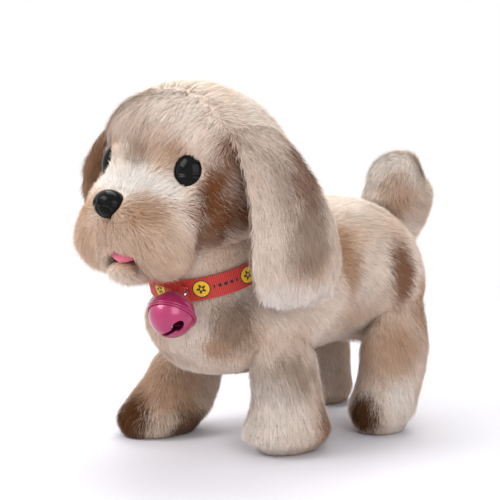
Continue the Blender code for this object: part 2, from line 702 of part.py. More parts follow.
def build_chassis():
    left = chassis_half("chassis_left", 1)
    right = chassis_half("chassis_right", -1)
    axle_in = GEAR_X - GEAR_WIDTH / 2 - AXLE_PROUD
    axles = [
        rod("axle_%d" % i, (axle_in, y, CRANK_HEIGHT), (CHASSIS_INSIDE + CHASSIS_WALL / 2, y, CRANK_HEIGHT),
            SHAFT_RADIUS)
        for i, y in enumerate(GEAR_YS[1:-1])]
    post = box(
        "screw_post", (SCREW_X - SCREW_HEAD_RADIUS, SCREW_Y - SCREW_HEAD_RADIUS, HATCH_TOP + SEAT),
        (SCREW_X + SCREW_HEAD_RADIUS, BAY_REAR_Y + CHASSIS_WALL, HATCH_TOP + SCREW_LENGTH + POST_WALL))
    bulkhead = box(
        "bay_bulkhead", (SEAT / 2, BAY_REAR_Y, CHASSIS_BELLY + CHASSIS_WALL / 2),
        (CHASSIS_INSIDE + CHASSIS_WALL / 2, BAY_REAR_Y + CHASSIS_WALL, HATCH_TOP + SCREW_LENGTH + POST_WALL))
    fuse(left, *axles, bulkhead, post)
    holes = chassis_holes()
    cut(left, *holes)
    cut(right, *holes)
    cut(left, rod(
        "screw_hole", (SCREW_X, SCREW_Y, CHASSIS_BELLY), (SCREW_X, SCREW_Y, HATCH_TOP + SCREW_LENGTH),
        SCREW_RADIUS + FIT, sides=FINE))


def build_battery_bay():
    door = box(
        "battery_door", (-CHASSIS_INSIDE + SEAT, BAY_FRONT_Y + SEAT, CHASSIS_BELLY),
        (CHASSIS_INSIDE - SEAT, BAY_REAR_Y - SEAT, HATCH_TOP), GREY_ABS)
    tab = box(
        "door_tab", (-TAB_HALF, BAY_FRONT_Y - TAB_REACH, HATCH_TOP + SEAT),
        (TAB_HALF, BAY_FRONT_Y + TAB_FOOT, HATCH_TOP + SEAT + TAB_THICKNESS))
    tab_foot = box(
        "door_tab_foot", (-TAB_HALF, BAY_FRONT_Y + SEAT, HATCH_TOP - TAB_THICKNESS / 2),
        (TAB_HALF, BAY_FRONT_Y + TAB_FOOT, HATCH_TOP + SEAT + TAB_THICKNESS / 2))
    fuse(door, tab_foot, tab)
    cut(door, rod(
        "door_screw_hole", (SCREW_X, SCREW_Y, CHASSIS_BELLY - PASS), (SCREW_X, SCREW_Y, HATCH_TOP + PASS),
        SCREW_RADIUS + SEAT, sides=FINE), rod(
        "door_counterbore", (SCREW_X, SCREW_Y, CHASSIS_BELLY - PASS),
        (SCREW_X, SCREW_Y, CHASSIS_BELLY + SCREW_HEAD), SCREW_HEAD_RADIUS + SEAT, sides=FINE))
    screw_low = CHASSIS_BELLY + FIT
    turned("battery_door_screw", (
        (0, SCREW_LENGTH), (SCREW_RADIUS, SCREW_LENGTH), (SCREW_RADIUS, SCREW_HEAD - 2 * FIT),
        (SCREW_HEAD_RADIUS, SCREW_HEAD - 2 * FIT), (SCREW_HEAD_RADIUS, 0), (0, 0),
    ), STEEL, matrix=Matrix.Translation((SCREW_X, SCREW_Y, screw_low)), steps=FINE, closed=False)
    back = BAY_FRONT_Y + CELL_SPARE
    front = back + CELL_LENGTH
    for name, side in (("battery_left", 1), ("battery_right", -1)):
        turned(name, (
            (0, CELL_NIPPLE_LENGTH + CELL_LENGTH), (CELL_NIPPLE_RADIUS, CELL_NIPPLE_LENGTH + CELL_LENGTH),
            (CELL_NIPPLE_RADIUS, CELL_LENGTH), (CELL_RADIUS, CELL_LENGTH), (CELL_RADIUS, 0), (0, 0),
        ), CELL_JACKET, closed=False, matrix=Matrix.Translation(
            (side * CELL_X, back if side > 0 else front, CELL_HEIGHT))
            @ Matrix.Rotation(-side * math.pi / 2, 4, "X"))


def build_electrics():
    motor_back = -CHASSIS_INSIDE + SEAT
    motor_front = GEAR_X - GEAR_WIDTH / 2 - PINION_PLAY - MOTOR_BOSS_LENGTH
    motor = rod(
        "gear_motor", (motor_back, MOTOR_Y, MOTOR_HEIGHT), (motor_front, MOTOR_Y, MOTOR_HEIGHT),
        MOTOR_RADIUS, GREY_ABS)
    keep(motor, box(
        "motor_flats", (-FAR, MOTOR_Y - FAR, MOTOR_HEIGHT - MOTOR_FLAT),
        (FAR, MOTOR_Y + FAR, MOTOR_HEIGHT + MOTOR_FLAT)))
    fuse(motor, rod(
        "motor_boss", (motor_front - MOTOR_BOSS_LENGTH / 2, MOTOR_Y, MOTOR_HEIGHT),
        (motor_front + MOTOR_BOSS_LENGTH, MOTOR_Y, MOTOR_HEIGHT), MOTOR_BOSS_RADIUS))
    cut(motor, rod(
        "motor_bore", (motor_front - MOTOR_BORE_DEPTH, MOTOR_Y, MOTOR_HEIGHT),
        (motor_front + FAR, MOTOR_Y, MOTOR_HEIGHT), MOTOR_SHAFT_RADIUS + RUN, sides=FINE))
    board_x = -CHASSIS_INSIDE + SEAT
    board = box(
        "circuit_board", (board_x, BOARD_Y, CRANK_HEIGHT - BOARD_HEIGHT / 2),
        (board_x + BOARD_THICKNESS, BOARD_Y + BOARD_LENGTH, CRANK_HEIGHT + BOARD_HEIGHT / 2), GREEN_BOARD)
    fuse(board, box(
        "board_chip", (board_x + BOARD_THICKNESS / 2, BOARD_Y + CHIP_OFFSET, CRANK_HEIGHT - BOARD_CHIP / 2),
        (board_x + BOARD_THICKNESS + CHIP_HEIGHT, BOARD_Y + CHIP_OFFSET + BOARD_CHIP,
         CRANK_HEIGHT + BOARD_CHIP / 2)))
    rim = SPEAKER_RADIUS - SPEAKER_RIM
    turned("speaker", (
        (0, SPEAKER_DEPTH - SPEAKER_CONE_DEPTH), (SPEAKER_DUST_CAP, SPEAKER_DEPTH - SPEAKER_CONE_DEPTH),
        (rim, SPEAKER_DEPTH), (SPEAKER_RADIUS, SPEAKER_DEPTH), (SPEAKER_RADIUS, SPEAKER_DEPTH / 2),
        (SPEAKER_MAGNET, SPEAKER_DEPTH / 2), (SPEAKER_MAGNET, 0), (0, 0),
    ), BLACK_ABS, closed=False, matrix=Matrix.Translation(
        (0, CHASSIS_FRONT_Y - SEAT, SPEAKER_HEIGHT)) @ Matrix.Rotation(math.pi / 2, 4, "X"))
    switch = pivot("switch_slide", (0, SWITCH_Y, CHASSIS_BELLY))
    knob = box(
        "switch_knob", (-SWITCH_WIDTH / 2, SWITCH_Y - SWITCH_LENGTH / 2, CHASSIS_BELLY - SWITCH_PROUD),
        (SWITCH_WIDTH / 2, SWITCH_Y + SWITCH_LENGTH / 2, HATCH_TOP + SEAT + SWITCH_FLANGE / 2),
        BLACK_ABS, switch)
    fuse(knob, box(
        "switch_flange", (-SWITCH_WIDTH, SWITCH_Y - SWITCH_LENGTH / 2, HATCH_TOP + SEAT),
        (SWITCH_WIDTH, SWITCH_Y + SWITCH_LENGTH / 2, HATCH_TOP + SEAT + SWITCH_FLANGE)))


# Gears, crankshafts and cranks
def gear_wheel(name, y, turn, bore, parent):
    return side_plate(
        name, [gear_outline(GEAR_TEETH, GEAR_MODULE, turn), circle((0, 0), bore, 16)], GEAR_WIDTH, GEAR_X,
        WHITE_POM, parent, centre=(y, CRANK_HEIGHT))


def crank(name, y, side, throw, parent):
    inner = side * (CHASSIS_HALF + CRANK_GAP)
    outer = inner + side * CRANK_THICKNESS
    disc = rod(name, (inner, y, CRANK_HEIGHT), (outer, y, CRANK_HEIGHT), CRANK_RADIUS, WHITE_POM, parent)
    fuse(disc, rod(
        name + "_pin", (inner + side * CRANK_THICKNESS / 2, y + throw, CRANK_HEIGHT),
        (outer + side * CRANK_PIN_LENGTH, y + throw, CRANK_HEIGHT), CRANK_PIN_RADIUS, sides=FINE))
    cut(disc, rod(
        name + "_bore", (inner - side * PASS, y, CRANK_HEIGHT),
        (inner + side * CRANK_THICKNESS / 2, y, CRANK_HEIGHT),
        SHAFT_RADIUS + FIT))
    return disc


def build_drive():
    half_tooth = math.pi / GEAR_TEETH
    shaft_end = CHASSIS_HALF + CRANK_GAP + CRANK_THICKNESS / 2 - SEAT
    for name, y, left_throw in (
            ("front_crank", FRONT_HIP_Y, -CRANK_THROW), ("rear_crank", REAR_HIP_Y, CRANK_THROW)):
        spin = pivot(name + "_spin", (0, y, CRANK_HEIGHT))
        rod(name + "_shaft", (-shaft_end, y, CRANK_HEIGHT), (shaft_end, y, CRANK_HEIGHT), SHAFT_RADIUS,
            STEEL, spin)
        gear_wheel(name + "_gear", y, 0, SHAFT_RADIUS + FIT, spin)
        crank(name + "_left", y, 1, left_throw, spin)
        crank(name + "_right", y, -1, -left_throw, spin)
    for i, name in enumerate(("idler_front", "idler_middle", "idler_rear")):
        y = GEAR_YS[i + 1]
        spin = pivot(name + "_spin", (0, y, CRANK_HEIGHT))
        gear_wheel(name, y, half_tooth if i % 2 == 0 else 0, SHAFT_RADIUS + RUN, spin)
    # The pinion has a tooth wherever the middle gear has a gap on the line between their centres
    gap = (PINION_LEAN / (2 * half_tooth) - 0.5) % 1
    turn = PINION_LEAN + math.pi + gap * 2 * math.pi / PINION_TEETH
    spin = pivot("motor_pinion_spin", (0, MOTOR_Y, MOTOR_HEIGHT))
    pinion = side_plate(
        "motor_pinion", [gear_outline(PINION_TEETH, GEAR_MODULE, turn)], GEAR_WIDTH, GEAR_X, WHITE_POM, spin,
        centre=(MOTOR_Y, MOTOR_HEIGHT))
    fuse(pinion, rod(
        "pinion_shaft", (GEAR_X - GEAR_WIDTH / 2 - PINION_SHAFT_IN, MOTOR_Y, MOTOR_HEIGHT),
        (GEAR_X + GEAR_WIDTH / 2 + PINION_PLAY, MOTOR_Y, MOTOR_HEIGHT), MOTOR_SHAFT_RADIUS, sides=FINE))
    for name, y in (("front_hip_shaft", FRONT_HIP_Y), ("rear_hip_shaft", REAR_HIP_Y)):
        rod(name, (-HIP_SHAFT_REACH, y, HIP_HEIGHT), (HIP_SHAFT_REACH, y, HIP_HEIGHT), SHAFT_RADIUS, STEEL)


# Legs: a flat plastic frame on the hip shaft, dressed in a stuffed leg
LEGS = (
    ("foreleg_left", FRONT_HIP_Y, 1, -1, FORELEG),
    ("foreleg_right", FRONT_HIP_Y, -1, 1, FORELEG),
    ("hindleg_left", REAR_HIP_Y, 1, 1, HINDLEG),
    ("hindleg_right", REAR_HIP_Y, -1, -1, HINDLEG),
)


# How far a leg's middle line lies from the hip at a given drop, standing at one end of its swing
def lean(drop, forward):
    return -forward * drop * math.tan(LEG_SWING)


def build_leg(name, hip_y, side, forward, stations):
    hip = pivot(name + "_hip", (side * FRAME_X, hip_y, HIP_HEIGHT))
    slot = CRANK_PIN_RADIUS + RUN
    slot_reach = CRANK_THROW + CRANK_PIN_RADIUS + RUN
    yoke_top = CRANK_ARM + slot_reach + YOKE_WALL
    outline = [
        (-FRAME_BAR, -FRAME_DROP), (FRAME_BAR, -FRAME_DROP), (FRAME_BAR, -FRAME_HUB), (FRAME_HUB, 0),
        (YOKE_HALF, FRAME_HUB), (YOKE_HALF, yoke_top), (-YOKE_HALF, yoke_top), (-YOKE_HALF, FRAME_HUB),
        (-FRAME_HUB, 0), (-FRAME_BAR, -FRAME_HUB)]
    yoke = [
        (-slot, CRANK_ARM - slot_reach), (slot, CRANK_ARM - slot_reach),
        (slot, CRANK_ARM + slot_reach), (-slot, CRANK_ARM + slot_reach)]
    turn = -forward * LEG_SWING
    side_plate(
        name + "_frame", [outline, circle((0, 0), SHAFT_RADIUS + RUN, 16), yoke], FRAME_THICKNESS,
        side * FRAME_X, WHITE_POM, hip, (hip_y, HIP_HEIGHT), turn)
    rings = []
    for drop, shift, half, length in stations:
        middle = Vector((side * LEG_X, hip_y + shift + lean(drop, forward), HIP_HEIGHT - drop))
        rings.append((middle, Vector((half, 0, 0)), Vector((0, length, 0)), 0))
    crown = Vector((side * LEG_X, hip_y + stations[0][1] + lean(LEG_CROWN, forward), HIP_HEIGHT - LEG_CROWN))
    sole = rings[-1][0].copy()
    sole.z = -SOLE_BULGE
    plush = soft(name + "_plush", rings, crown, sole, CREAM_PLUSH, hip)
    room = FRAME_BAR + SEAT
    cut(plush, side_plate(
        name + "_frame_room", [(
            (-room, -FRAME_DROP - SEAT), (room, -FRAME_DROP - SEAT), (room, 0), (-room, 0))],
        FRAME_THICKNESS + 2 * SEAT, side * FRAME_X, None, hip, (hip_y, HIP_HEIGHT), turn))
    cut(plush, box(name + "_floor", (-FAR, -FAR, -FAR), (FAR, FAR, 0)))


# Outline of the room a pair of legs sweeps through, as the hull of their edges at several angles
def pocket_outline(stations):
    points = []
    for forward in (1, -1):
        for step in (0, 0.5, 1):
            spin = forward * 2 * LEG_SWING * step
            for drop, shift, half, length in stations:
                for edge in (shift - length, shift + length):
                    y = edge + lean(drop, forward)
                    turned_y = y * math.cos(spin) + drop * math.sin(spin)
                    turned_z = y * math.sin(spin) - drop * math.cos(spin)
                    points.append((turned_y, turned_z))
    points = sorted(set((y, z) for y, z in points if z > -POCKET_DEPTH))
    points = [(y, -FAR) for y in (points[0][0], points[-1][0])] + points
    points.sort()
    hull = []
    for run in (points, points[::-1]):
        chain = []
        for point in run:
            while len(chain) > 1 and turns_right(chain[-2], chain[-1], point):
                chain.pop()
            chain.append(point)
        hull += chain[:-1]
    middle = sum(z for y, z in hull) / len(hull)
    return [(y + math.copysign(SWEEP, y), z + math.copysign(SWEEP, z - middle)) for y, z in hull]


def turns_right(a, b, c):
    return (b[0] - a[0]) * (c[1] - a[1]) - (b[1] - a[1]) * (c[0] - a[0]) <= 0


# Torso: a stuffed shell around the chassis with a round neck
def neck_ball(name, extra, tilt):
    rim = NECK_RIM + extra
    whole = ball(name, NECK, [NECK_RADIUS + extra] * 3, sides=NECK_SIDES, rings=NECK_RINGS)
    lid = box(name + "_lid", (-FAR, -FAR, rim), (FAR, FAR, FAR))
    lid.matrix_basis = Matrix.Translation(NECK) @ Matrix.Rotation(tilt, 4, "X")
    cut(whole, lid)
    return whole


def build_torso():
    torso = soft("torso_plush", rings_along_y(TORSO), TORSO_CHEST, TORSO_RUMP, CREAM_PLUSH, sides=BODY_SIDES)
    fuse(torso, neck_ball("neck_stub", 0, COLLAR_TILT))
    room = side_plate("chassis_room", [chassis_outline(SEAT)], 2 * CHASSIS_HALF + 2 * SEAT, 0)
    neck_room = rod(
        "neck_room", (0, NECK_Y, CHASSIS_SHOULDER - NECK_BORE_DEPTH), (0, NECK_Y, NECK_HEIGHT + FAR),
        NECK_BORE,
        sides=NECK_SIDES)
    speaker_room = rod(
        "speaker_room", (0, CHASSIS_FRONT_Y - SPEAKER_DEPTH - 2 * SEAT, SPEAKER_HEIGHT),
        (0, CHASSIS_FRONT_Y + PASS, SPEAKER_HEIGHT), SPEAKER_RADIUS + SWEEP, sides=NECK_SIDES)
    belly = box(
        "belly_window", (-CHASSIS_INSIDE - WINDOW, BAY_FRONT_Y - SWITCH_ROOM + WINDOW, 0),
        (CHASSIS_INSIDE + WINDOW, BAY_REAR_Y + WINDOW, CHASSIS_BELLY + CHASSIS_WALL))
    cut(torso, room, neck_room, speaker_room, belly)
    pocket_in = LEG_X - max(half for drop, shift, half, length in FORELEG[:3] + HINDLEG[:3]) - SWEEP
    yoke_room = CRANK_ARM + CRANK_THROW + CRANK_PIN_RADIUS + RUN + YOKE_WALL + SWEEP
    for name, hip_y, stations in (("front", FRONT_HIP_Y, FORELEG), ("rear", REAR_HIP_Y, HINDLEG)):
        narrow = FRAME_HUB + SWEEP
        wide = YOKE_HALF + yoke_room * math.sin(LEG_SWING) + SWEEP
        low = 2 * SWEEP - LEG_CROWN
        cut(torso, side_plate(
            name + "_yoke_room", [((-narrow, low), (narrow, low), (wide, yoke_room), (-wide, yoke_room))],
            2 * (HIP_SHAFT_REACH + SEAT), 0, centre=(hip_y, HIP_HEIGHT)))
        for side in (1, -1):
            middle = side * (pocket_in + FAR / 2)
            cut(torso, side_plate(
                "%s_pocket_%s" % (name, "left" if side > 0 else "right"), [pocket_outline(stations)], FAR,
                middle, centre=(hip_y, HIP_HEIGHT)))
    reach = TORSO_RUMP.y + TAIL_SLOT_SPARE - TAIL_PIN_Y
    spread = TAIL_HUB + reach * math.tan(TAIL_WAG)
    y, z, tilt, wide, deep = TAIL[2]
    wag_room = (y - TAIL_PIN_Y) * math.sin(TAIL_WAG) + SWEEP
    dish = ball(
        "tail_dish", (0, y, (TAIL_ROOT.z + TAIL_TIP.z) / 2),
        (wide + wag_room, deep + 2 * SWEEP, (TAIL_TIP.z - TAIL_ROOT.z) / 2 + 2 * SWEEP))
    cut(torso, dish, plate(
        "tail_slot", [(
            (-TAIL_HUB - SWEEP, -TAIL_SLOT_SPARE), (TAIL_HUB + SWEEP, -TAIL_SLOT_SPARE),
            (spread, reach), (-spread, reach))],
        FAR, Matrix.Translation((0, TAIL_PIN_Y, TAIL_LUG_LOW - SWEEP + FAR / 2))))
    return torso


# A flat ring around the neck, from its inner to its outer radius
def neck_ring(name, inner, outer, width, paint=None):
    half = width / 2
    profile = ((outer, half), (outer, -half), (inner, -half), (inner, half))
    return turned(name, profile, paint, matrix=COLLAR_SEAT, steps=COLLAR_SIDES)


def build_collar(torso):
    neck_ring("collar", COLLAR_RADIUS - COLLAR_THICKNESS, COLLAR_RADIUS, COLLAR_WIDTH, RED_RIBBON)
    cut(torso, neck_ring(
        "collar_groove", NECK_RADIUS - COLLAR_GROOVE, COLLAR_RADIUS + PASS, COLLAR_WIDTH + 2 * SEAT))


# Bell: two pressed half shells and a loose pea, hung from the collar by a wire loop
def half_shell(radius, low):
    steps = [i * (math.pi / 2 - low / radius) / BELL_STEPS for i in range(BELL_STEPS + 1)]
    return [(radius * math.sin(a), radius * math.cos(a)) for a in steps]


def build_bell():
    out = Vector((math.sin(BELL_TURN), -math.cos(BELL_TURN), 0))
    around = math.sin(BELL_TURN) * Vector((1, 0, 0)) + math.cos(BELL_TURN) * COLLAR_FORE
    hinge = COLLAR_CENTRE + (COLLAR_RADIUS + BELL_STANDOFF) * around
    drop = BELL_OUT * out - Vector((0, 0, BELL_DROP))
    bell = pivot("bell_hinge", hinge)
    aim = Vector((0, 0, 1)).rotation_difference(-drop).to_matrix().to_4x4()
    seat = Matrix.Translation(hinge + drop) @ aim
    outer = half_shell(BELL_RADIUS, BELL_FLANGE)
    inner = half_shell(BELL_RADIUS - BELL_WALL, BELL_FLANGE)
    rim = BELL_RADIUS + BELL_FLANGE
    split = SEAT / 2
    profile = outer + [(rim, BELL_FLANGE), (rim, split), (BELL_RADIUS - BELL_WALL, split)] + inner[::-1]
    turned("bell_cap", profile, PINK_METAL, bell, seat, BELL_SIDES, closed=False)
    below = [(radius, -height) for radius, height in profile[::-1]]
    cup = turned("bell_cup", below, PINK_METAL, bell, seat, BELL_SIDES, closed=False)
    slot_end = BELL_SLOT_REACH
    slot = box(
        "bell_slot", (-BELL_SLOT / 2, -slot_end, -BELL_RADIUS - PASS),
        (BELL_SLOT / 2, slot_end, -BELL_RADIUS / 2))
    holes = [
        rod("bell_hole_%d" % i, (0, y, -BELL_RADIUS - PASS), (0, y, -BELL_RADIUS / 2), BELL_HOLE, sides=FINE)
        for i, y in enumerate((slot_end, -slot_end))]
    for cutter in (slot, *holes):
        cutter.matrix_basis = seat
    cut(cup, slot, *holes)
    pea = BELL_RADIUS - BELL_WALL - BELL_PEA - SEAT
    ball("bell_clapper", seat @ Vector((0, 0, -pea)), [BELL_PEA] * 3, STEEL, bell, sides=FINE, rings=8)
    loop = turned("bell_loop", [
        (LOOP_RADIUS + u, -v) for u, v in circle((0, 0), LOOP_WIRE, 8)], STEEL, bell)
    loop.matrix_basis = seat @ Matrix.Translation(
        (0, 0, BELL_RADIUS + SEAT + LOOP_WIRE + LOOP_RADIUS)) @ Matrix.Rotation(math.pi / 2, 4, "X")


# Head: a hard two-part skull inside a stuffed face
def skull_floor(x, y, inset):
    u = x / (SKULL_RADII.x - inset)
    v = (y - SKULL_CENTRE.y) / (SKULL_RADII.y - inset)
    return SKULL_CENTRE.z - (SKULL_RADII.z - inset) * math.sqrt(1 - u * u - v * v)


def eye_axis(side):
    return Vector((side * math.sin(EYE_TURN), -math.cos(EYE_TURN), 0))


# Depth behind the eye at which its axis leaves the inside of the skull wall
def eye_depth():
    inside = [1 / (radius - SKULL_WALL) for radius in SKULL_RADII]
    start = Vector((EYE_X, EYE_Y, EYE_HEIGHT)) - SKULL_CENTRE
    a = Vector([p * q for p, q in zip(start, inside)])
    b = Vector([-p * q for p, q in zip(eye_axis(1), inside)])
    along = a.dot(b) / b.length_squared
    return -along - math.sqrt(along * along - (a.length_squared - 1) / b.length_squared)


def skull_half(name, side, head, bowls):
    half = ball(name, SKULL_CENTRE, SKULL_RADII, GREY_ABS, head, SKULL_SIDES, SKULL_RINGS)
    inside = ball(
        name + "_inside", SKULL_CENTRE, SKULL_RADII - Vector([SKULL_WALL] * 3), sides=SKULL_SIDES,
        rings=SKULL_RINGS)
    across = sorted((side * SEAT / 2, -side * FAR))
    other = box(name + "_other", (across[0], -FAR, 0), (across[1], FAR, FAR))
    cut(half, inside, other, *bowls)
    for lug, low_x, thickness, y, span, low in (
            ("neck", LUG_IN, LUG_THICKNESS, NECK_Y, LUG_HALF, NECK_HEIGHT - TOWER_HALF),
            ("jaw", JAW_LUG_IN, JAW_LUG_THICKNESS, JAW_Y, JAW_LUG_HALF, JAW_HEIGHT - JAW_LUG_HALF)):
        high = skull_floor(low_x, max(y - span, SKULL_CENTRE.y - LUG_SPREAD), SKULL_WALL / 2)
        edges = sorted((side * low_x, side * (low_x + thickness)))
        fuse(half, box(
            name + "_%s_lug" % lug, (edges[0], y - span, low), (edges[1], y + span, high + LUG_ROOT)))
    reach = Vector((side * FAR / 2, 0, 0))
    for hole, y, z in (("neck", NECK_Y, NECK_HEIGHT), ("jaw", JAW_Y, JAW_HEIGHT)):
        radius = PIN_RADIUS + (RUN if hole == "neck" else FIT)
        cut(half, rod(name + "_%s_hole" % hole, Vector((0, y, z)), Vector((0, y, z)) + reach, radius))
    eye = Vector((side * EYE_X, EYE_Y, EYE_HEIGHT))
    cut(half, rod(
        name + "_eye_hole", eye, eye - eye_axis(side) * (eye_depth() + EYE_HOLE_RUN), EYE_STEM + SEAT,
        sides=FINE))
    return half


def build_eye(name, side, head, plush):
    eye = Vector((side * EYE_X, EYE_Y, EYE_HEIGHT))
    axis = eye_axis(side)
    aim = Vector((0, 0, 1)).rotation_difference(axis).to_matrix().to_4x4()
    seat = Matrix.Translation(eye) @ aim
    washer = eye_depth() + EYE_WASHER_GAP
    stem = washer + EYE_WASHER_THICKNESS + EYE_STEM_PROUD
    steps = [i * math.pi / 10 for i in range(6)]
    dome = [(EYE_RADIUS * math.sin(a), EYE_DOME * math.cos(a)) for a in steps]
    turned("eye_" + name, dome + [
        (EYE_RADIUS, -EYE_BACK), (EYE_STEM, -EYE_BACK), (EYE_STEM, -stem), (0, -stem),
    ], BLACK_ABS, head, seat, closed=False)
    bore = EYE_STEM + FIT
    turned("eye_washer_" + name, (
        (EYE_WASHER, -washer), (EYE_WASHER, -washer - EYE_WASHER_THICKNESS),
        (bore, -washer - EYE_WASHER_THICKNESS), (bore, -washer),
    ), WHITE_POM, head, seat, 16)
    socket = eye - axis * (EYE_BACK + SEAT)
    cut(plush, rod("eye_socket_" + name, socket, eye + axis * FAR / 4, EYE_RADIUS + SEAT), rod(
        "eye_stem_room_" + name, eye - axis * eye_depth(), eye, EYE_STEM + SEAT, sides=FINE))


def build_nose(head, plush):
    tip = Vector((0, NOSE_Y, NOSE_HEIGHT))
    radii = Vector((NOSE_HALF_WIDTH, NOSE_DOME, NOSE_HALF_HEIGHT))
    back = Vector((0, NOSE_STEM_LENGTH, 0))
    nose = ball("nose", tip, radii, BLACK_ABS, head)
    cut(nose, box("nose_back", (-FAR, NOSE_Y + EYE_BACK, 0), (FAR, FAR, FAR)))
    fuse(nose, rod("nose_stem", tip, tip + back, NOSE_STEM, sides=FINE))
    fill = Vector([SEAT] * 3)
    socket = ball("nose_socket", tip, radii + fill)
    cut(socket, box("nose_socket_back", (-FAR, NOSE_Y + EYE_BACK + SEAT, 0), (FAR, FAR, FAR)))
    deeper = Vector((0, SEAT, 0))
    hole = rod("nose_stem_room", tip, tip + back + deeper, NOSE_STEM + SEAT, sides=FINE)
    cut(plush, socket, hole)


def build_head():
    head = pivot("head_nod", NECK)
    plush = soft("head_plush", rings_along_y(HEAD), HEAD_BACK, HEAD_FRONT, CREAM_PLUSH, head, FACE_SIDES)
    bowls = [
        neck_ball("neck_bowl_level", SWEEP, COLLAR_TILT),
        neck_ball("neck_bowl_raised", SWEEP, COLLAR_TILT + NOD)]
    hub_reach = LUG_IN + LUG_THICKNESS + SWEEP
    bowls.append(rod(
        "neck_hub_room", (-hub_reach, NECK_Y, NECK_HEIGHT), (hub_reach, NECK_Y, NECK_HEIGHT),
        TOWER_HALF * math.sqrt(2) + 2 * SWEEP))
    skull_room = ball(
        "skull_room", SKULL_CENTRE, SKULL_RADII + Vector([SEAT] * 3), sides=SKULL_SIDES, rings=SKULL_RINGS)
    jaw_half = max(station[3] for station in JAW) + SWEEP
    jaw_back = JAW_Y + JAW_LUG_HALF + SWEEP
    mouth = side_plate("mouth_room", [(
        (jaw_back, 0), (HEAD_FRONT.y - FAR / 4, 0), (HEAD_FRONT.y - FAR / 4, MOUTH_ROOF),
        (JAW_Y - MOUTH_RUN, MOUTH_ROOF + MOUTH_RISE), (JAW_Y - JAW_LUG_HALF - SWEEP, MOUTH_CEILING),
        (jaw_back, MOUTH_CEILING))], 2 * jaw_half, 0)
    cut(plush, skull_room, *bowls, mouth)
    for name, side in (("left", 1), ("right", -1)):
        skull_half("skull_" + name, side, head, bowls)
        build_eye(name, side, head, plush)
    build_nose(head, plush)
    rod("jaw_pin", (-JAW_PIN_REACH, JAW_Y, JAW_HEIGHT), (JAW_PIN_REACH, JAW_Y, JAW_HEIGHT), PIN_RADIUS,
        STEEL, head)
    reach = LUG_IN + LUG_THICKNESS + PIN_PROUD
    rod("neck_pin", (-reach, NECK_Y, NECK_HEIGHT), (reach, NECK_Y, NECK_HEIGHT), PIN_RADIUS, STEEL)
    return head


def build_jaw():
    hinge = pivot("jaw_hinge", (0, JAW_Y, JAW_HEIGHT))
    plush = soft("jaw_plush", rings_along_y(JAW), JAW_BACK, JAW_CHIN, CREAM_PLUSH, hinge)
    hub_half = JAW_LUG_IN - RUN
    hub_ends = ((-hub_half, JAW_Y, JAW_HEIGHT), (hub_half, JAW_Y, JAW_HEIGHT))
    frame = rod("jaw_frame", *hub_ends, JAW_HUB, WHITE_POM, hinge)
    chin = JAW[-2]
    tip = (chin[0] + JAW_BAR, (chin[1] + chin[2]) / 2)

    def bar(name, extra):
        ends = ((JAW_Y, JAW_HEIGHT), tip)
        rise = JAW_BAR + extra
        return side_plate(name, [(
            (ends[0][0], ends[0][1] - rise), (ends[1][0] - extra, ends[1][1] - rise),
            (ends[1][0] - extra, ends[1][1] + rise), (ends[0][0], ends[0][1] + rise))],
            2 * (JAW_BAR_HALF + extra), 0)

    fuse(frame, bar("jaw_bar", 0))
    cut(frame, rod(
        "jaw_pin_bore", (-hub_half - PASS, JAW_Y, JAW_HEIGHT), (hub_half + PASS, JAW_Y, JAW_HEIGHT),
        PIN_RADIUS + RUN))
    cut(plush, bar("jaw_bar_room", SEAT), rod("jaw_hub_room", *hub_ends, JAW_HUB + SEAT))
    fall = math.atan2(JAW[0][2] - JAW[-1][2], JAW[0][0] - JAW[-1][0])
    length = TONGUE_LENGTH - TONGUE_HALF
    tip_arc = [
        (TONGUE_HALF * math.cos(a), -length - TONGUE_HALF * math.sin(a))
        for a in [i * math.pi / 10 for i in range(11)]]
    height = JAW[0][2] - TONGUE_SINK + SEAT + TONGUE_THICKNESS / 2
    root = Vector((0, JAW[0][0] - TONGUE_BACK, height))
    plate("tongue", [[(TONGUE_HALF, 0)] + tip_arc + [(-TONGUE_HALF, 0)]], TONGUE_THICKNESS,
          Matrix.Translation(root) @ Matrix.Rotation(fall, 4, "X"), PINK_FELT, hinge)


def build_ear(name, side, skin):
    hinge = pivot(name + "_seam", (side * EAR_HINGE_X, EAR[0][2], EAR_HINGE_Z))
    rings = [
        (Vector((side * x, y, z)), Vector((thick, 0, 0)), Vector((0, wide, 0)), 0)
        for z, x, y, thick, wide in EAR]
    flip = Vector((side, 1, 1))
    ear = soft(name, rings, EAR_SEAM * flip, EAR_TIP * flip, TAN_PLUSH, hinge)
    cut(ear, skin)


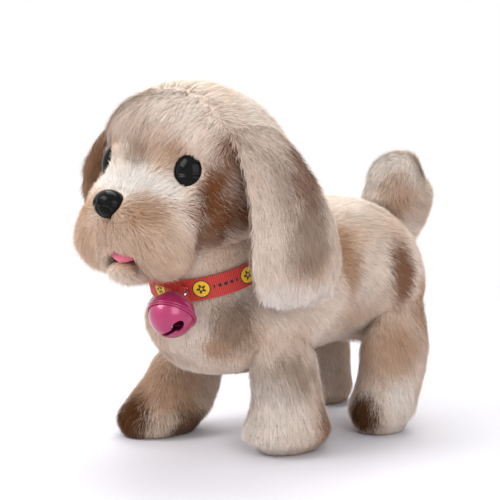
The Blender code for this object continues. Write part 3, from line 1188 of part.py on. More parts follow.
def build_tail():
    wag = pivot("tail_wag", (0, TAIL_PIN_Y, TAIL_LUG_LOW))
    low = TAIL_LUG_LOW + TAIL_LUG_THICKNESS + SEAT
    high = low + TAIL_HUB_HEIGHT
    lever = rod("tail_lever", (0, TAIL_PIN_Y, low), (0, TAIL_PIN_Y, high), TAIL_HUB, WHITE_POM, wag)
    bend = Vector((0, TAIL_PIN_Y + TAIL_HUB + TAIL_BAR + SWEEP, (low + high) / 2))
    heart = Vector((0, *TAIL[1][:2]))
    run = rod("tail_arm_run", (0, TAIL_PIN_Y + TAIL_HUB / 2, bend.z), bend, TAIL_BAR, sides=FINE)
    rise = rod("tail_arm_rise", bend, heart, TAIL_BAR, sides=FINE)
    elbow = ball("tail_elbow", bend, [TAIL_ELBOW] * 3, sides=FINE, rings=6)
    fuse(lever, run, elbow, rise)
    cut(lever, rod(
        "tail_pin_bore", (0, TAIL_PIN_Y, low - PASS), (0, TAIL_PIN_Y, high + PASS), TAIL_PIN_RADIUS + RUN,
        sides=FINE))
    rings = []
    for y, z, tilt, wide, deep in TAIL:
        turn = math.radians(tilt)
        across = Vector((0, -math.sin(turn), math.cos(turn))) * deep
        rings.append((Vector((0, y, z)), Vector((wide, 0, 0)), across, 0))
    plush = soft("tail_plush", rings, TAIL_ROOT, TAIL_TIP, CREAM_PLUSH, wag)
    beyond = (heart - bend).normalized() * SEAT
    cut(plush, rod("tail_arm_room", bend, heart + beyond, TAIL_BAR + SEAT, sides=FINE))
    rod("tail_pin", (0, TAIL_PIN_Y, TAIL_LUG_LOW), (0, TAIL_PIN_Y, TAIL_LUG_HIGH + TAIL_LUG_THICKNESS),
        TAIL_PIN_RADIUS, STEEL, sides=FINE)


def build():
    build_chassis()
    build_battery_bay()
    build_electrics()
    build_drive()
    for leg in LEGS:
        build_leg(*leg)
    build_collar(build_torso())
    build_bell()
    build_head()
    build_jaw()
    skin = soft("head_skin", rings_along_y(HEAD, SEAT), HEAD_BACK, HEAD_FRONT, sides=FACE_SIDES)
    build_ear("ear_left", 1, skin)
    build_ear("ear_right", -1, skin)
    build_tail()


build()
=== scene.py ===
import json
import math

import bpy
import numpy as np
from mathutils import Matrix, Vector


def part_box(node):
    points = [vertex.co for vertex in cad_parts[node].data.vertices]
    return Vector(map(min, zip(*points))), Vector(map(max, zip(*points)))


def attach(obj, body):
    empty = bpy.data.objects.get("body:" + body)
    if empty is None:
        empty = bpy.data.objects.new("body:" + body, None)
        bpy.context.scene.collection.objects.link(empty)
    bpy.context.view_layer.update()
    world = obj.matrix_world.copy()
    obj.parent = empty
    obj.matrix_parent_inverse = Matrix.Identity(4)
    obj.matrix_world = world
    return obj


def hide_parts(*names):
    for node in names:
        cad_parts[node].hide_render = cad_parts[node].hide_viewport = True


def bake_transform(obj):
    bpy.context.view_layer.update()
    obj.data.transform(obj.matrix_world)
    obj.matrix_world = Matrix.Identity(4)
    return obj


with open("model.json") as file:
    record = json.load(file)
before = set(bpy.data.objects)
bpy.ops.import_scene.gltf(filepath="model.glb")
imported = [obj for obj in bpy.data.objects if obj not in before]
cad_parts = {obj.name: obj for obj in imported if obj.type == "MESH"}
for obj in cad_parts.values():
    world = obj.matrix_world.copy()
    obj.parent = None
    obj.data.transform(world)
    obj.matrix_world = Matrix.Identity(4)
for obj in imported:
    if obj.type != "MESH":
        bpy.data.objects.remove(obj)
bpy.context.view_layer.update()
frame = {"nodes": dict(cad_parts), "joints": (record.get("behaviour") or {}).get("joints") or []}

# Real sizes are in millimetres here, and become metres when a mesh is made
MM = 0.001
JOINTS = {joint["name"]: joint for joint in frame["joints"]}
X, Y, Z = np.eye(3)


def pivot(joint):
    return np.array(JOINTS[joint]["pos_m"]) / MM


def corners(node):
    low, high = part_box(node)
    return np.array(low) / MM, np.array(high) / MM


def middle(*nodes):
    found = [corners(node) for node in nodes]
    low = np.min([pair[0] for pair in found], axis=0)
    high = np.max([pair[1] for pair in found], axis=0)
    return (low + high) / 2


NECK = pivot("head_nod")
FORE_HIP = pivot("foreleg_left_swing") * (0, 1, 1)
HIND_HIP = pivot("hindleg_left_swing") * (0, 1, 1)
LEG_X = middle("foreleg_left_plush")[0]
# Each leg rests at one end of its swing, this far from upright
SWING = math.radians(13)

# Pile: cut length, lean from the skin, and how far the knitted backing lies under the fur's outline.
# Real fibres are too fine to show in the render, so the strands are drawn wider and fewer
PILE_LENGTH = 6.5
PILE_WIDTH = 0.26
PILE_ROOT = math.radians(57)
PILE_TIP = math.radians(80)
PILE_SINK = 0.5
BACKING_INSET = 1.9
STRANDS_PER_MM2 = 5.0
STRANDS_IN_PIECE = 66000
ROW_DEPTH = 4
FLOOR_CLEAR = 0.3
# How the strands vary: cut, locks that lie together, strays, and a lift in places
PILE_CUT = (0.72, 1.12)
LOCK_SIZE, LOCK_PULL = 13, 0.2
STRAY = 0.16
LIFT_SIZE, LIFT, LIFT_STRAY = 11, 0.07, 0.06
WIDTH_SPREAD = (0.7, 1.2)
BEND_WIDTH = 0.8
SHADE_FLOW, SHADE_STRAY = 0.25, 0.14
# Strands shade one another, so each is dyed lighter than the coat looks; along each strand, painted shade
# makes it darker towards the root and lighter at the tip
DYE_GAIN = 1.2
DYE_LIMIT = 0.88
DYE_BLUR = 2.0
DYE_STRAY = 0.05
DYE_LOCK_SIZE, DYE_LOCK = 5, 0.06
PAINTED_SHADE_ALONG = (0.92, 0.92, 0.98, 0.98, 1.03)
DYE_RANGE = (0.01, 0.92)
BACKING_DYE = 0.9

# Colours of the coat as it looks, sRGB
CREAM = "#DBCBBD"
WHITE = "#EFE8E1"
BEIGE = "#C6AA93"
TAN = "#AC876A"
BROWN = "#74472A"
DARK = "#553722"
GREY = "#7F6652"


def linear(code):
    channels = [int(code[i:i + 2], 16) / 255 for i in (1, 3, 5)]
    return [c / 12.92 if c <= 0.04045 else ((c + 0.055) / 1.055) ** 2.4 for c in channels]


def paint(code):
    return (*linear(code), 1)


# Materials: one function adds a node with its settings and links
def wire(material, made, sockets):
    for name, value in sockets.items():
        socket = made.inputs[name]
        if isinstance(value, bpy.types.NodeSocket):
            material.node_tree.links.new(value, socket)
        else:
            socket.default_value = value


def node(material, kind, sockets=None, **settings):
    made = material.node_tree.nodes.new(kind)
    for name, value in settings.items():
        setattr(made, name, value)
    wire(material, made, sockets or {})
    return made


def finish(name, **constants):
    made = bpy.data.materials.new(name)
    made.use_nodes = True
    shader = made.node_tree.nodes["Principled BSDF"]
    wire(made, shader, {key.replace("_", " "): value for key, value in constants.items()})
    return made, shader


# Polyester pile: soft matt fibres, coloured strand by strand
def plush_pile():
    made, shader = finish("polyester_plush_pile", Roughness=0.9, Specular_IOR_Level=0.02)
    # The colour attribute holds the coat's dye together with the painted light and shade of its patches and
    # strands
    dye_and_painted_light = node(made, "ShaderNodeAttribute", attribute_name="dye_and_painted_light")
    wire(made, shader, {"Base Color": dye_and_painted_light.outputs["Color"]})
    return made


# Knitted backing: the same colour as its pile, with the stitches of the knit, and painted shade that darkens
# the gaps between the stitches
KNIT_STITCH = 1.2


def plush_backing():
    made, shader = finish("knitted_plush_backing", Roughness=0.9, Specular_IOR_Level=0.15)
    dye_and_painted_light = node(made, "ShaderNodeAttribute", attribute_name="dye_and_painted_light")
    place = node(made, "ShaderNodeTexCoord")
    stitch = node(made, "ShaderNodeTexVoronoi", {
        "Vector": place.outputs["Object"], "Scale": 1 / (KNIT_STITCH * MM)})
    # Painted shade: each stitch is darker towards its edges, in the gaps of the knit
    shade = node(made, "ShaderNodeMix", {
        "Factor": stitch.outputs["Distance"], "A": dye_and_painted_light.outputs["Color"], "B": paint("#D2C4B8")},
        data_type="RGBA", blend_type="MULTIPLY")
    bump = node(made, "ShaderNodeBump", {
        "Height": stitch.outputs["Distance"], "Strength": 0.4, "Distance": 0.3 * MM})
    wire(made, shader, {"Base Color": shade.outputs["Result"], "Normal": bump.outputs["Normal"]})
    return made


# A finish whose colour and surface vary with one grain: its size, detail, relief and depth, in millimetres
def grained(name, deep, pale, grain, detail, relief, depth, **constants):
    made, shader = finish(name, **constants)
    place = node(made, "ShaderNodeTexCoord")
    fine = node(made, "ShaderNodeTexNoise", {
        "Vector": place.outputs["Object"], "Scale": 1 / (grain * MM), "Detail": detail})
    tint = node(made, "ShaderNodeMix", {
        "Factor": fine.outputs["Fac"], "A": paint(deep), "B": paint(pale)}, data_type="RGBA")
    bump = node(made, "ShaderNodeBump", {
        "Height": fine.outputs["Fac"], "Strength": relief, "Distance": depth * MM})
    wire(made, shader, {"Base Color": tint.outputs["Result"], "Normal": bump.outputs["Normal"]})
    return made


# Felt and satin: matted or floated fibres, rough and slightly mottled
def fabric(name, deep, pale):
    return grained(
        name, deep, pale, grain=0.8, detail=4.0, relief=0.5, depth=0.3, Roughness=0.85, Sheen_Weight=0.4)


# Pieces inside the plush: one colour, with the fine grain of the mould, the tool or the jacket
def plain(name, deep, pale, grain, **constants):
    return grained(name, deep, pale, grain, detail=3.0, relief=0.15, depth=0.1, **constants)


# Grosgrain ribbon: red ribs across the weave, each painted lighter on its crest and darker in its groove as
# painted light and shade, printed with yellow flower discs between rows of black dots
RIB_PITCH = 0.9
PRINT_PITCH = 24.0
DOT_PITCH = 3.0
DOT_RADIUS = 0.9
DISC_CLEAR, DISC_RIM, DISC_RADIUS = 6.0, 4.4, 3.9
PETALS = 5
PETAL_REACH, PETAL_WAVE, FLOWER_EYE = 1.8, 0.65, 0.7
# Painted shade and painted light of the ribs, for their grooves and their crests
RIB_PAINTED_SHADE, RIB_PAINTED_LIGHT = "#A3191A", "#DC3C30"
INK, YELLOW, FLOWER_INK = "#1A1312", "#F2C31D", "#3A2A12"


def grosgrain():
    made, shader = finish("red_grosgrain_ribbon", Roughness=0.6, Sheen_Weight=0.3)
    weave = node(made, "ShaderNodeAttribute", attribute_name="weave")
    along = node(made, "ShaderNodeSeparateXYZ", {"Vector": weave.outputs["Vector"]})
    turn = node(made, "ShaderNodeMath", {
        0: along.outputs["X"], 1: 2 * math.pi / RIB_PITCH}, operation="MULTIPLY")
    rib = node(made, "ShaderNodeMath", {0: turn.outputs["Value"]}, operation="SINE")
    # Painted light and shade on the ribs: the red runs from dark in each groove to light on each crest
    light = node(made, "ShaderNodeMapRange", {"Value": rib.outputs["Value"], "From Min": -1.0})
    cloth = node(made, "ShaderNodeMix", {
        "Factor": light.outputs["Result"], "A": paint(RIB_PAINTED_SHADE), "B": paint(RIB_PAINTED_LIGHT)}, data_type="RGBA")
    disc_run = node(made, "ShaderNodeMath", {
        0: along.outputs["X"], 1: PRINT_PITCH / 2, 2: -PRINT_PITCH / 2}, operation="WRAP")
    disc = node(made, "ShaderNodeCombineXYZ", {"X": disc_run.outputs["Value"], "Y": along.outputs["Y"]})
    reach = node(made, "ShaderNodeVectorMath", {0: disc.outputs["Vector"]}, operation="LENGTH")
    dot_run = node(made, "ShaderNodeMath", {
        0: along.outputs["X"], 1: DOT_PITCH / 2, 2: -DOT_PITCH / 2}, operation="WRAP")
    dot = node(made, "ShaderNodeCombineXYZ", {"X": dot_run.outputs["Value"], "Y": along.outputs["Y"]})
    dot_reach = node(made, "ShaderNodeVectorMath", {0: dot.outputs["Vector"]}, operation="LENGTH")
    bearing = node(made, "ShaderNodeMath", {
        0: along.outputs["Y"], 1: disc_run.outputs["Value"]}, operation="ARCTAN2")
    petals = node(made, "ShaderNodeMath", {0: bearing.outputs["Value"], 1: PETALS}, operation="MULTIPLY")
    wave = node(made, "ShaderNodeMath", {0: petals.outputs["Value"]}, operation="COSINE")
    petal = node(made, "ShaderNodeMath", {
        0: wave.outputs["Value"], 1: PETAL_WAVE, 2: PETAL_REACH}, operation="MULTIPLY_ADD")
    ink = cloth.outputs["Result"]
    for value, limit, code in (
            (dot_reach, DOT_RADIUS, INK), (reach, DISC_CLEAR, None), (reach, DISC_RIM, INK),
            (reach, DISC_RADIUS, YELLOW), (reach, petal.outputs["Value"], FLOWER_INK),
            (reach, FLOWER_EYE, YELLOW)):
        inside = node(made, "ShaderNodeMath", {0: value.outputs["Value"], 1: limit}, operation="LESS_THAN")
        colour = paint(code) if code else cloth.outputs["Result"]
        ink = node(made, "ShaderNodeMix", {
            "Factor": inside.outputs["Value"], "A": ink, "B": colour}, data_type="RGBA").outputs["Result"]
    bump = node(made, "ShaderNodeBump", {
        "Height": rib.outputs["Value"], "Strength": 0.5, "Distance": 0.15 * MM})
    wire(made, shader, {"Base Color": ink, "Normal": bump.outputs["Normal"]})
    return made


PILE = plush_pile()
BACKING = plush_backing()
# Moulded black ABS: high gloss with a faint orange-peel from the mould
BLACK = grained(
    "moulded_black_abs", "#0A0A0B", "#131314", grain=1.5, detail=2.0, relief=0.05, depth=0.1,
    Roughness=0.06, IOR=1.45, Specular_IOR_Level=0.12)
# Lacquered steel: pressed shells under a pink lacquer, deeper where the coat pooled
LACQUER = grained(
    "lacquered_bell_steel", "#9A144E", "#B32467", grain=6, detail=3.0, relief=0.06, depth=0.2,
    Metallic=0.2, Roughness=0.34, Coat_Weight=0.7, Coat_Roughness=0.03)
PINK_FELT = fabric("pink_wool_felt", "#C94A6B", "#E8728F")
RED_CLOTH = fabric("red_satin_ribbon", "#B5201F", "#D93A30")
GROSGRAIN = grosgrain()
INNER = {
    "grey_abs": plain("moulded_grey_abs", "#7C7F82", "#8E9194", 0.9, Roughness=0.5, IOR=1.53),
    "white_acetal": plain("machined_white_acetal", "#DEDBD3", "#ECEAE4", 0.7, Roughness=0.38, IOR=1.48),
    "bright_steel": plain("drawn_bright_steel", "#AEB1B5", "#C9CBCE", 0.5, Roughness=0.28, Metallic=1.0),
    "green_board": plain("glass_epoxy_board", "#235833", "#2C6B3F", 1.2, Roughness=0.45),
    "cell_jacket": plain("shrunk_cell_jacket", "#2C3953", "#3A4A6B", 1.5, Roughness=0.3),
}


# Meshes
def new_object(name, points, faces, material, smooth=True):
    mesh = bpy.data.meshes.new(name)
    mesh.from_pydata([tuple(p) for p in np.asarray(points) * MM], [], faces)
    mesh.materials.append(material)
    if smooth:
        mesh.shade_smooth()
    made = bpy.data.objects.new(name, mesh)
    bpy.context.scene.collection.objects.link(made)
    return made


def applied(obj):
    graph = bpy.context.evaluated_depsgraph_get()
    mesh = bpy.data.meshes.new_from_object(obj.evaluated_get(graph))
    obj.modifiers.clear()
    old = obj.data
    obj.data = mesh
    mesh.name = obj.name
    bpy.data.meshes.remove(old)
    return obj


def modify(obj, kind, **settings):
    made = obj.modifiers.new(kind.lower(), kind)
    for name, value in settings.items():
        setattr(made, name, value)
    return made


# Rows of numbers spread along a smooth curve through them
def spread(rows, steps):
    rows = np.asarray(rows, float)
    ends = np.vstack([2 * rows[0] - rows[1], rows, 2 * rows[-1] - rows[-2]])
    out = []
    for i in range(1, len(ends) - 2):
        a, b, c, d = ends[i - 1:i + 3]
        for t in np.arange(steps) / steps:
            out.append(0.5 * (2 * b + (c - a) * t + (2 * a - 5 * b + 4 * c - d) * t ** 2
                              + (3 * b - a - 3 * c + d) * t ** 3))
    out.append(rows[-1])
    return np.array(out)


# A closed stuffed form through rings of centre, half axis, half axis and narrowing, with rounded ends
def form(rings, start, end, sides=40, steps=6, cap=5):
    rows = spread([np.hstack(ring) for ring in rings], steps)
    rounds = [math.pi / 2 * k / cap for k in range(1, cap)]

    def capped(row, tip):
        made = []
        for turn in rounds:
            lead = np.asarray(tip) + (row[:3] - tip) * (1 - math.cos(turn))
            made.append(np.hstack([lead, row[3:9] * math.sin(turn), row[9]]))
        return made

    rows = capped(rows[0], start) + list(rows) + capped(rows[-1], end)[::-1]
    turns = np.arange(sides) * 2 * math.pi / sides
    points = [np.asarray(start)]
    for row in rows:
        for turn in turns:
            across = math.cos(turn) * (1 - row[9] * math.sin(turn))
            points.append(row[:3] + row[3:6] * across + row[6:9] * math.sin(turn))
    points.append(np.asarray(end))
    faces = []
    last = len(points) - 1
    for i in range(sides):
        j = (i + 1) % sides
        faces.append((0, 1 + j, 1 + i))
        for k in range(len(rows) - 1):
            base = 1 + k * sides
            faces.append((base + i, base + j, base + sides + j, base + sides + i))
        faces.append((last, last - sides + i, last - sides + j))
    return points, faces


def ball(centre, radii, sides=24):
    centre = np.asarray(centre, float)
    up = Z * radii[2]
    rings = [(centre, X * radii[0], Y * radii[1], 0)] * 2
    return form(rings, centre - up, centre + up, sides, 1, sides // 4)


# Soft skins: forms joined, remeshed, rounded, and drawn in to the backing under the pile
def stuffed(name, shapes, voxel=2.0, rounds=8, inset=BACKING_INSET, cutters=()):
    points, faces = [], []
    for found, sides in shapes:
        faces += [tuple(i + len(points) for i in face) for face in sides]
        points += list(found)
    made = new_object(name, points, faces, BACKING)
    modify(made, "REMESH", mode="VOXEL", voxel_size=voxel * MM)
    modify(made, "SMOOTH", factor=0.5, iterations=rounds)
    modify(made, "DISPLACE", strength=-inset * MM, mid_level=0)
    for cutter in cutters:
        modify(made, "BOOLEAN", object=cutter, operation="DIFFERENCE", solver="EXACT")
    if cutters:
        modify(made, "REMESH", mode="VOXEL", voxel_size=voxel * MM)
    modify(made, "SMOOTH", factor=0.5, iterations=3)
    applied(made)
    for cutter in cutters:
        bpy.data.objects.remove(cutter)
    made.data.shade_smooth()
    return made


def block(low, high):
    points = [(x, y, z) for x in (low[0], high[0]) for y in (low[1], high[1]) for z in (low[2], high[2])]
    faces = [(0, 1, 3, 2), (4, 6, 7, 5), (0, 4, 5, 1), (2, 3, 7, 6), (0, 2, 6, 4), (1, 5, 7, 3)]
    return new_object("cutter", points, faces, BACKING, smooth=False)


# Sewn creases: the skin is drawn in along a line
def crease(obj, line, width, depth):
    line = spread(line, 6)
    mesh = obj.data
    points = np.empty(len(mesh.vertices) * 3)
    mesh.vertices.foreach_get("co", points)
    points = points.reshape(-1, 3) / MM
    normals = np.array([n.vector for n in mesh.vertex_normals])
    gap = np.linalg.norm(points[:, None] - line[None], axis=2).min(axis=1)
    points -= normals * (depth * np.exp(-(gap / width) ** 2))[:, None]
    mesh.vertices.foreach_set("co", (points * MM).ravel())
    mesh.update()


# Station tables, in millimetres from a pivot: y, underside, top, half width, narrowing upwards
def rings_along_y(stations, start):
    rings = []
    for y, low, top, half, narrow in stations:
        centre = start + (0, y, (low + top) / 2)
        rings.append((centre, X * half, Z * (top - low) / 2, narrow))
    return rings


TORSO_FORE = (
    (-38, -10, 17, 19, 0), (-27, -21, 25, 32, 0), (-4, -25, 30, 42.5, 0), (21, -22, 36, 43, 0),
    (46, -19, 54, 42, 0))
TORSO_HIND = (
    (-22, -18, 58, 43, 0), (-2, -20, 55.5, 44, 0), (12, -18, 47.5, 37.5, 0), (19.5, -14, 36.5, 29.5, 0))
HEAD = (
    (34, 18, 56, 25.5, 0), (19, 2, 73.5, 42, -0.08), (-3, -5, 82.5, 48.5, -0.1), (-23, -8, 80.5, 46.5, -0.22),
    (-36, -9.5, 69, 42, -0.06), (-47, -8.5, 40, 35.5, 0.12), (-56.5, -5, 31.5, 27.5, 0))
JAW = (
    (-27, -5.5, 4, 9.5, 0), (-36, -9.5, 2.5, 11, 0), (-47, -11.5, 1.8, 12, 0), (-54, -10.5, 0.5, 10.5, 0))
JAW_SIDE = 3.0
# Legs from the hip down: drop, shift along y, half width, half length
FORELEG = (
    (-6, 0, 6, 13), (7, 0, 8.5, 18), (16, 0, 12, 21), (30, -1, 14.5, 20.5), (40, -3, 17.5, 22),
    (49, -5, 20, 25), (58, -5.5, 13, 18))
FORELEG_AHEAD = (
    (-6, 0, 6, 10), (7, 2, 8.5, 14), (16, 4, 12, 17.5), (30, 4, 14.5, 24), (40, 0.5, 17, 26),
    (49, -3, 20, 27), (58, -4, 17, 24))
HINDLEG = (
    (-6, -2, 6, 14), (7, -3, 9, 20), (16, -3.5, 13, 22.5), (30, -2.5, 15, 21), (40, -4, 16.5, 19),
    (49, -5, 18, 19), (58, -4.5, 14, 16))
# Ear from the neck pin: height, x, y, half thickness, half width
EAR = (
    (62, 42.5, -6, 4.5, 17), (52, 51, -4.5, 5.5, 20), (36, 57, 0.5, 5.5, 24), (16, 57.5, 7, 6, 28),
    (-4, 55, 11, 6.5, 30), (-18, 52.5, 13, 5.5, 23))
# Tail from the rear hips: y, z, lean of the section, half width, half depth
TAIL = (
    (25.5, 36, 55, 12.5, 14), (27.5, 46, 75, 16.5, 18.5), (28.3, 55.5, 90, 18.5, 20.5),
    (26, 65.5, 110, 15, 16.5))
# Ends of the forms
CHEST_TIP = FORE_HIP + (0, -45, 4)
RUMP_TIP = HIND_HIP + (0, 25.5, 8)
HEAD_BACK = NECK + (0, 41, 42)
MUZZLE_TIP = NECK + (0, -63, 14)
TAIL_ROOT = HIND_HIP + (0, 22, 26.5)
TAIL_TIP = HIND_HIP + (0, 23, 77.5)
NECK_BALL = 29.5


# Noise that is the same each run: sums of waves with seeded directions
def waves(points, size, seed):
    draw = np.random.default_rng(seed)
    total = np.zeros(len(points))
    for _ in range(7):
        way = draw.normal(size=3)
        way *= 2 * math.pi / (size * draw.uniform(0.7, 1.5)) / np.linalg.norm(way)
        total += np.sin(points @ way + draw.uniform(0, 2 * math.pi))
    return total / 3.2


# A patch of the coat and its mirror image on the other side
def both(centre, radii, code, strength):
    x, y, z = centre
    return (centre, radii, code, strength), ((-x, y, z), radii, code, strength)


# Coat patches in the part's frame, with a few patches of painted light and painted shade among them: centre,
# radii, colour, strength
PATCHES = (
    # Painted light: the tops of the head and of the back are lighter, as where light falls from above
    ((0, -60, 172), (60, 60, 22), WHITE, 0.30),
    ((0, 30, 122), (40, 60, 22), WHITE, 0.25),
    *both((20, -98, 110), (24, 16, 20), BEIGE, 1.0),
    ((0, -98, 136), (20, 14, 11), WHITE, 0.9),
    *both((20, -95, 133), (18, 14, 8), WHITE, 0.85),
    ((4, -85, 156), (22, 16, 11), TAN, 0.45),
    ((2, -89, 149), (10, 10, 7), GREY, 0.6),
    *both((24, -86, 150), (9, 9, 6), TAN, 0.7),
    *both((19, -101, 123), (15, 11, 8), TAN, 0.8),
    ((-12, -107, 108), (10, 6, 10), TAN, 0.4),
    *both((45, -68, 126), (15, 20, 30), BROWN, 1.0),
    *both((36, -72, 108), (13, 10, 13), BROWN, 0.75),
    *both((27, -81, 95), (9, 9, 8), TAN, 0.65),
    ((61, -50, 134), (14, 10, 17), GREY, 0.5),
    ((60, -34, 142), (14, 12, 22), BROWN, 0.75),
    ((62, -33, 110), (16, 15, 26), GREY, 0.7),
    ((58, -66, 114), (14, 14, 40), CREAM, 0.8),
    ((56, -40, 79), (14, 36, 11), WHITE, 0.6),
    ((-60, -72, 140), (18, 14, 26), TAN, 0.9),
    ((-58, -30, 110), (16, 20, 30), TAN, 0.7),
    ((34, -57, 66), (12, 12, 16), GREY, 0.8),
    ((25, -64, 54), (7, 8, 6), TAN, 0.8),
    ((-35, -57, 60), (12, 12, 15), TAN, 0.6),
    ((37, 14, 94), (16, 7, 22), TAN, 0.9),
    ((42, 20, 68), (14, 18, 16), GREY, 0.15),
    ((44, 47, 82), (12, 8, 22), BROWN, 0.9),
    ((-38, 20, 92), (16, 8, 24), TAN, 0.9),
    ((-44, 52, 80), (12, 10, 22), BROWN, 0.8),
    ((34, 70, 60), (20, 16, 21), TAN, 0.95),
    ((-30, 78, 64), (22, 13, 20), TAN, 0.9),
    ((0, -2, 40), (30, 40, 10), BEIGE, 0.6),
    ((-30, -50, 22), (22, 22, 18), TAN, 0.85),
    ((-22, -42, 5), (14, 15, 11), DARK, 0.9),
    ((-36, -69, 10), (16, 14, 16), DARK, 1.0),
    ((-50, -71, 26), (9, 11, 15), WHITE, 0.9),
    ((48, -34, 38), (18, 20, 12), GREY, 0.65),
    ((54, -12, 12), (10, 9, 15), BROWN, 0.85),
    # Painted light on the near forepaw, lightening the shade that the body casts on it
    ((46, -46, 14), (24, 24, 26), WHITE, 0.4),
    ((44, 38, 42), (20, 20, 16), TAN, 0.7),
    ((39, 24, 11), (11, 9, 12), DARK, 1.0),
    ((54, 42, 12), (12, 14, 18), WHITE, 0.6),
    # Painted shade on the inside of the far hind leg
    ((-24, 66, 28), (20, 24, 30), GREY, 0.5),
    # Painted light: the top of the tail is lighter, as where light falls from above
    ((0, 84, 136), (22, 22, 24), WHITE, 0.65),
    ((14, 91, 106), (13, 11, 12), GREY, 0.35),
    ((12, 74, 116), (12, 9, 16), TAN, 0.7),
    ((-10, 90, 108), (14, 12, 14), TAN, 0.5),
)


# Edges of the patches: where they start and end, as a share of the radii, and how ragged they are
PATCH_OUTER, PATCH_EDGE = 1.25, 0.65
RAGGED = 0.16
CLOUD_SIZE = 34


# Dye and painted light at each point: cream, clouded with beige, with ragged patches of dye, painted light
# and painted shade laid over one another
def dye_and_painted_light(points):
    colours = np.tile(linear(CREAM), (len(points), 1))
    ragged = RAGGED * waves(points, 8, 3) + RAGGED * waves(points, 20, 5)
    cloud = np.clip(0.3 + 0.5 * waves(points, CLOUD_SIZE, 8), 0, 0.8)
    colours += (np.array(linear(BEIGE)) - colours) * cloud[:, None]
    for centre, radii, code, strength in PATCHES:
        reach = np.linalg.norm((points - centre) / np.array(radii), axis=1) + ragged
        share = np.clip((PATCH_OUTER - reach) / PATCH_EDGE, 0, 1)
        share = strength * share * share * (3 - 2 * share)
        colours += (np.array(linear(code)) - colours) * share[:, None]
    colours = colours * DYE_GAIN
    return colours / np.maximum(1, colours.max(axis=1, keepdims=True) / DYE_LIMIT)


def unit(vectors):
    return vectors / np.maximum(np.linalg.norm(vectors, axis=-1, keepdims=True), 1e-9)


# Ways that the pile is combed, as a direction at each point. On the head it runs outwards from the tip of
# the muzzle and down the cheeks, and in front of the crown's seam it falls forwards over the brow
MUZZLE_WHORL = np.array((0, -112, 124))
CHEEK_START, CHEEK_BLEND = 26, 14
CROWN_SEAM_Y, CROWN_SEAM_WAVE = -67, 1.4
BROW_HEIGHT, BROW_BLEND = 146, 4
FRINGE_WAY = np.array((0, -0.75, -0.65))
CHEST_Y, BACK_RUN, FLANK_X = -60, 60, 40
TAIL_CURL = HIND_HIP + (0, 32, 59)


def comb_head(points):
    out = points - MUZZLE_WHORL
    cheek = np.clip((np.abs(points[:, 0:1]) - CHEEK_START) / CHEEK_BLEND, 0, 1)
    way = unit(out) + 0.35 * Y - (0.25 + 0.9 * cheek) * Z
    seam = CROWN_SEAM_Y + CROWN_SEAM_WAVE * waves(points, 4, 77)
    brow = np.clip((points[:, 2] - BROW_HEIGHT) / BROW_BLEND, 0, 1)
    front = brow * np.clip(seam - points[:, 1], 0, 1)
    return way * (1 - front)[:, None] + front[:, None] * FRINGE_WAY


# Backwards along the back, and down the chest and the flanks
def comb_torso(points):
    back = np.clip((points[:, 1] - CHEST_Y) / BACK_RUN, 0, 1)[:, None]
    side = np.clip(np.abs(points[:, 0:1]) / FLANK_X, 0, 1)
    return Y * (0.25 + 0.75 * back) - Z * (0.35 + 0.6 * side + 0.5 * (1 - back))


def comb_down(points):
    return np.tile((0, 0.12, -1.0), (len(points), 1)) + 0.12 * np.sign(points[:, 0:1]) * X


def comb_tail(points):
    off = points - TAIL_CURL
    return np.stack([0 * off[:, 0], -off[:, 2], off[:, 1]], axis=1) - 4 * Z


def comb_jaw(points):
    return np.tile((0, 0.7, -0.6), (len(points), 1)) + 0.02 * points * X


# Points spread evenly over a skin, with their normals
def scatter(obj, count, draw):
    mesh = obj.data
    mesh.calc_loop_triangles()
    corner = np.empty(len(mesh.loop_triangles) * 3, int)
    mesh.loop_triangles.foreach_get("vertices", corner)
    corner = corner.reshape(-1, 3)
    points = np.empty(len(mesh.vertices) * 3)
    mesh.vertices.foreach_get("co", points)
    points = points.reshape(-1, 3) / MM
    normals = np.empty(len(mesh.vertices) * 3)
    mesh.vertex_normals.foreach_get("vector", normals)
    normals = normals.reshape(-1, 3)
    a, b, c = (points[corner[:, i]] for i in range(3))
    area = np.linalg.norm(np.cross(b - a, c - a), axis=1) / 2
    picked = np.searchsorted(np.cumsum(area) / area.sum(), draw.uniform(size=count))
    u, v = draw.uniform(size=(2, count, 1))
    flip = u + v > 1
    u, v = np.where(flip, 1 - u, u), np.where(flip, 1 - v, v)
    mix = [1 - u - v, u, v]
    spots = sum(mix[i] * points[corner[picked, i]] for i in range(3))
    ways = unit(sum(mix[i] * normals[corner[picked, i]] for i in range(3)))
    return spots, ways


def area_of(obj):
    return sum(face.area for face in obj.data.polygons) / MM ** 2


def keep_all(points, normals):
    return np.ones(len(points), bool)


# Share of the pile's length that is left, from a short one where the gap starts to all of it at a reach
def clipped(gap, reach, short):
    return short + (1 - short) * np.clip(gap / reach, 0, 1)


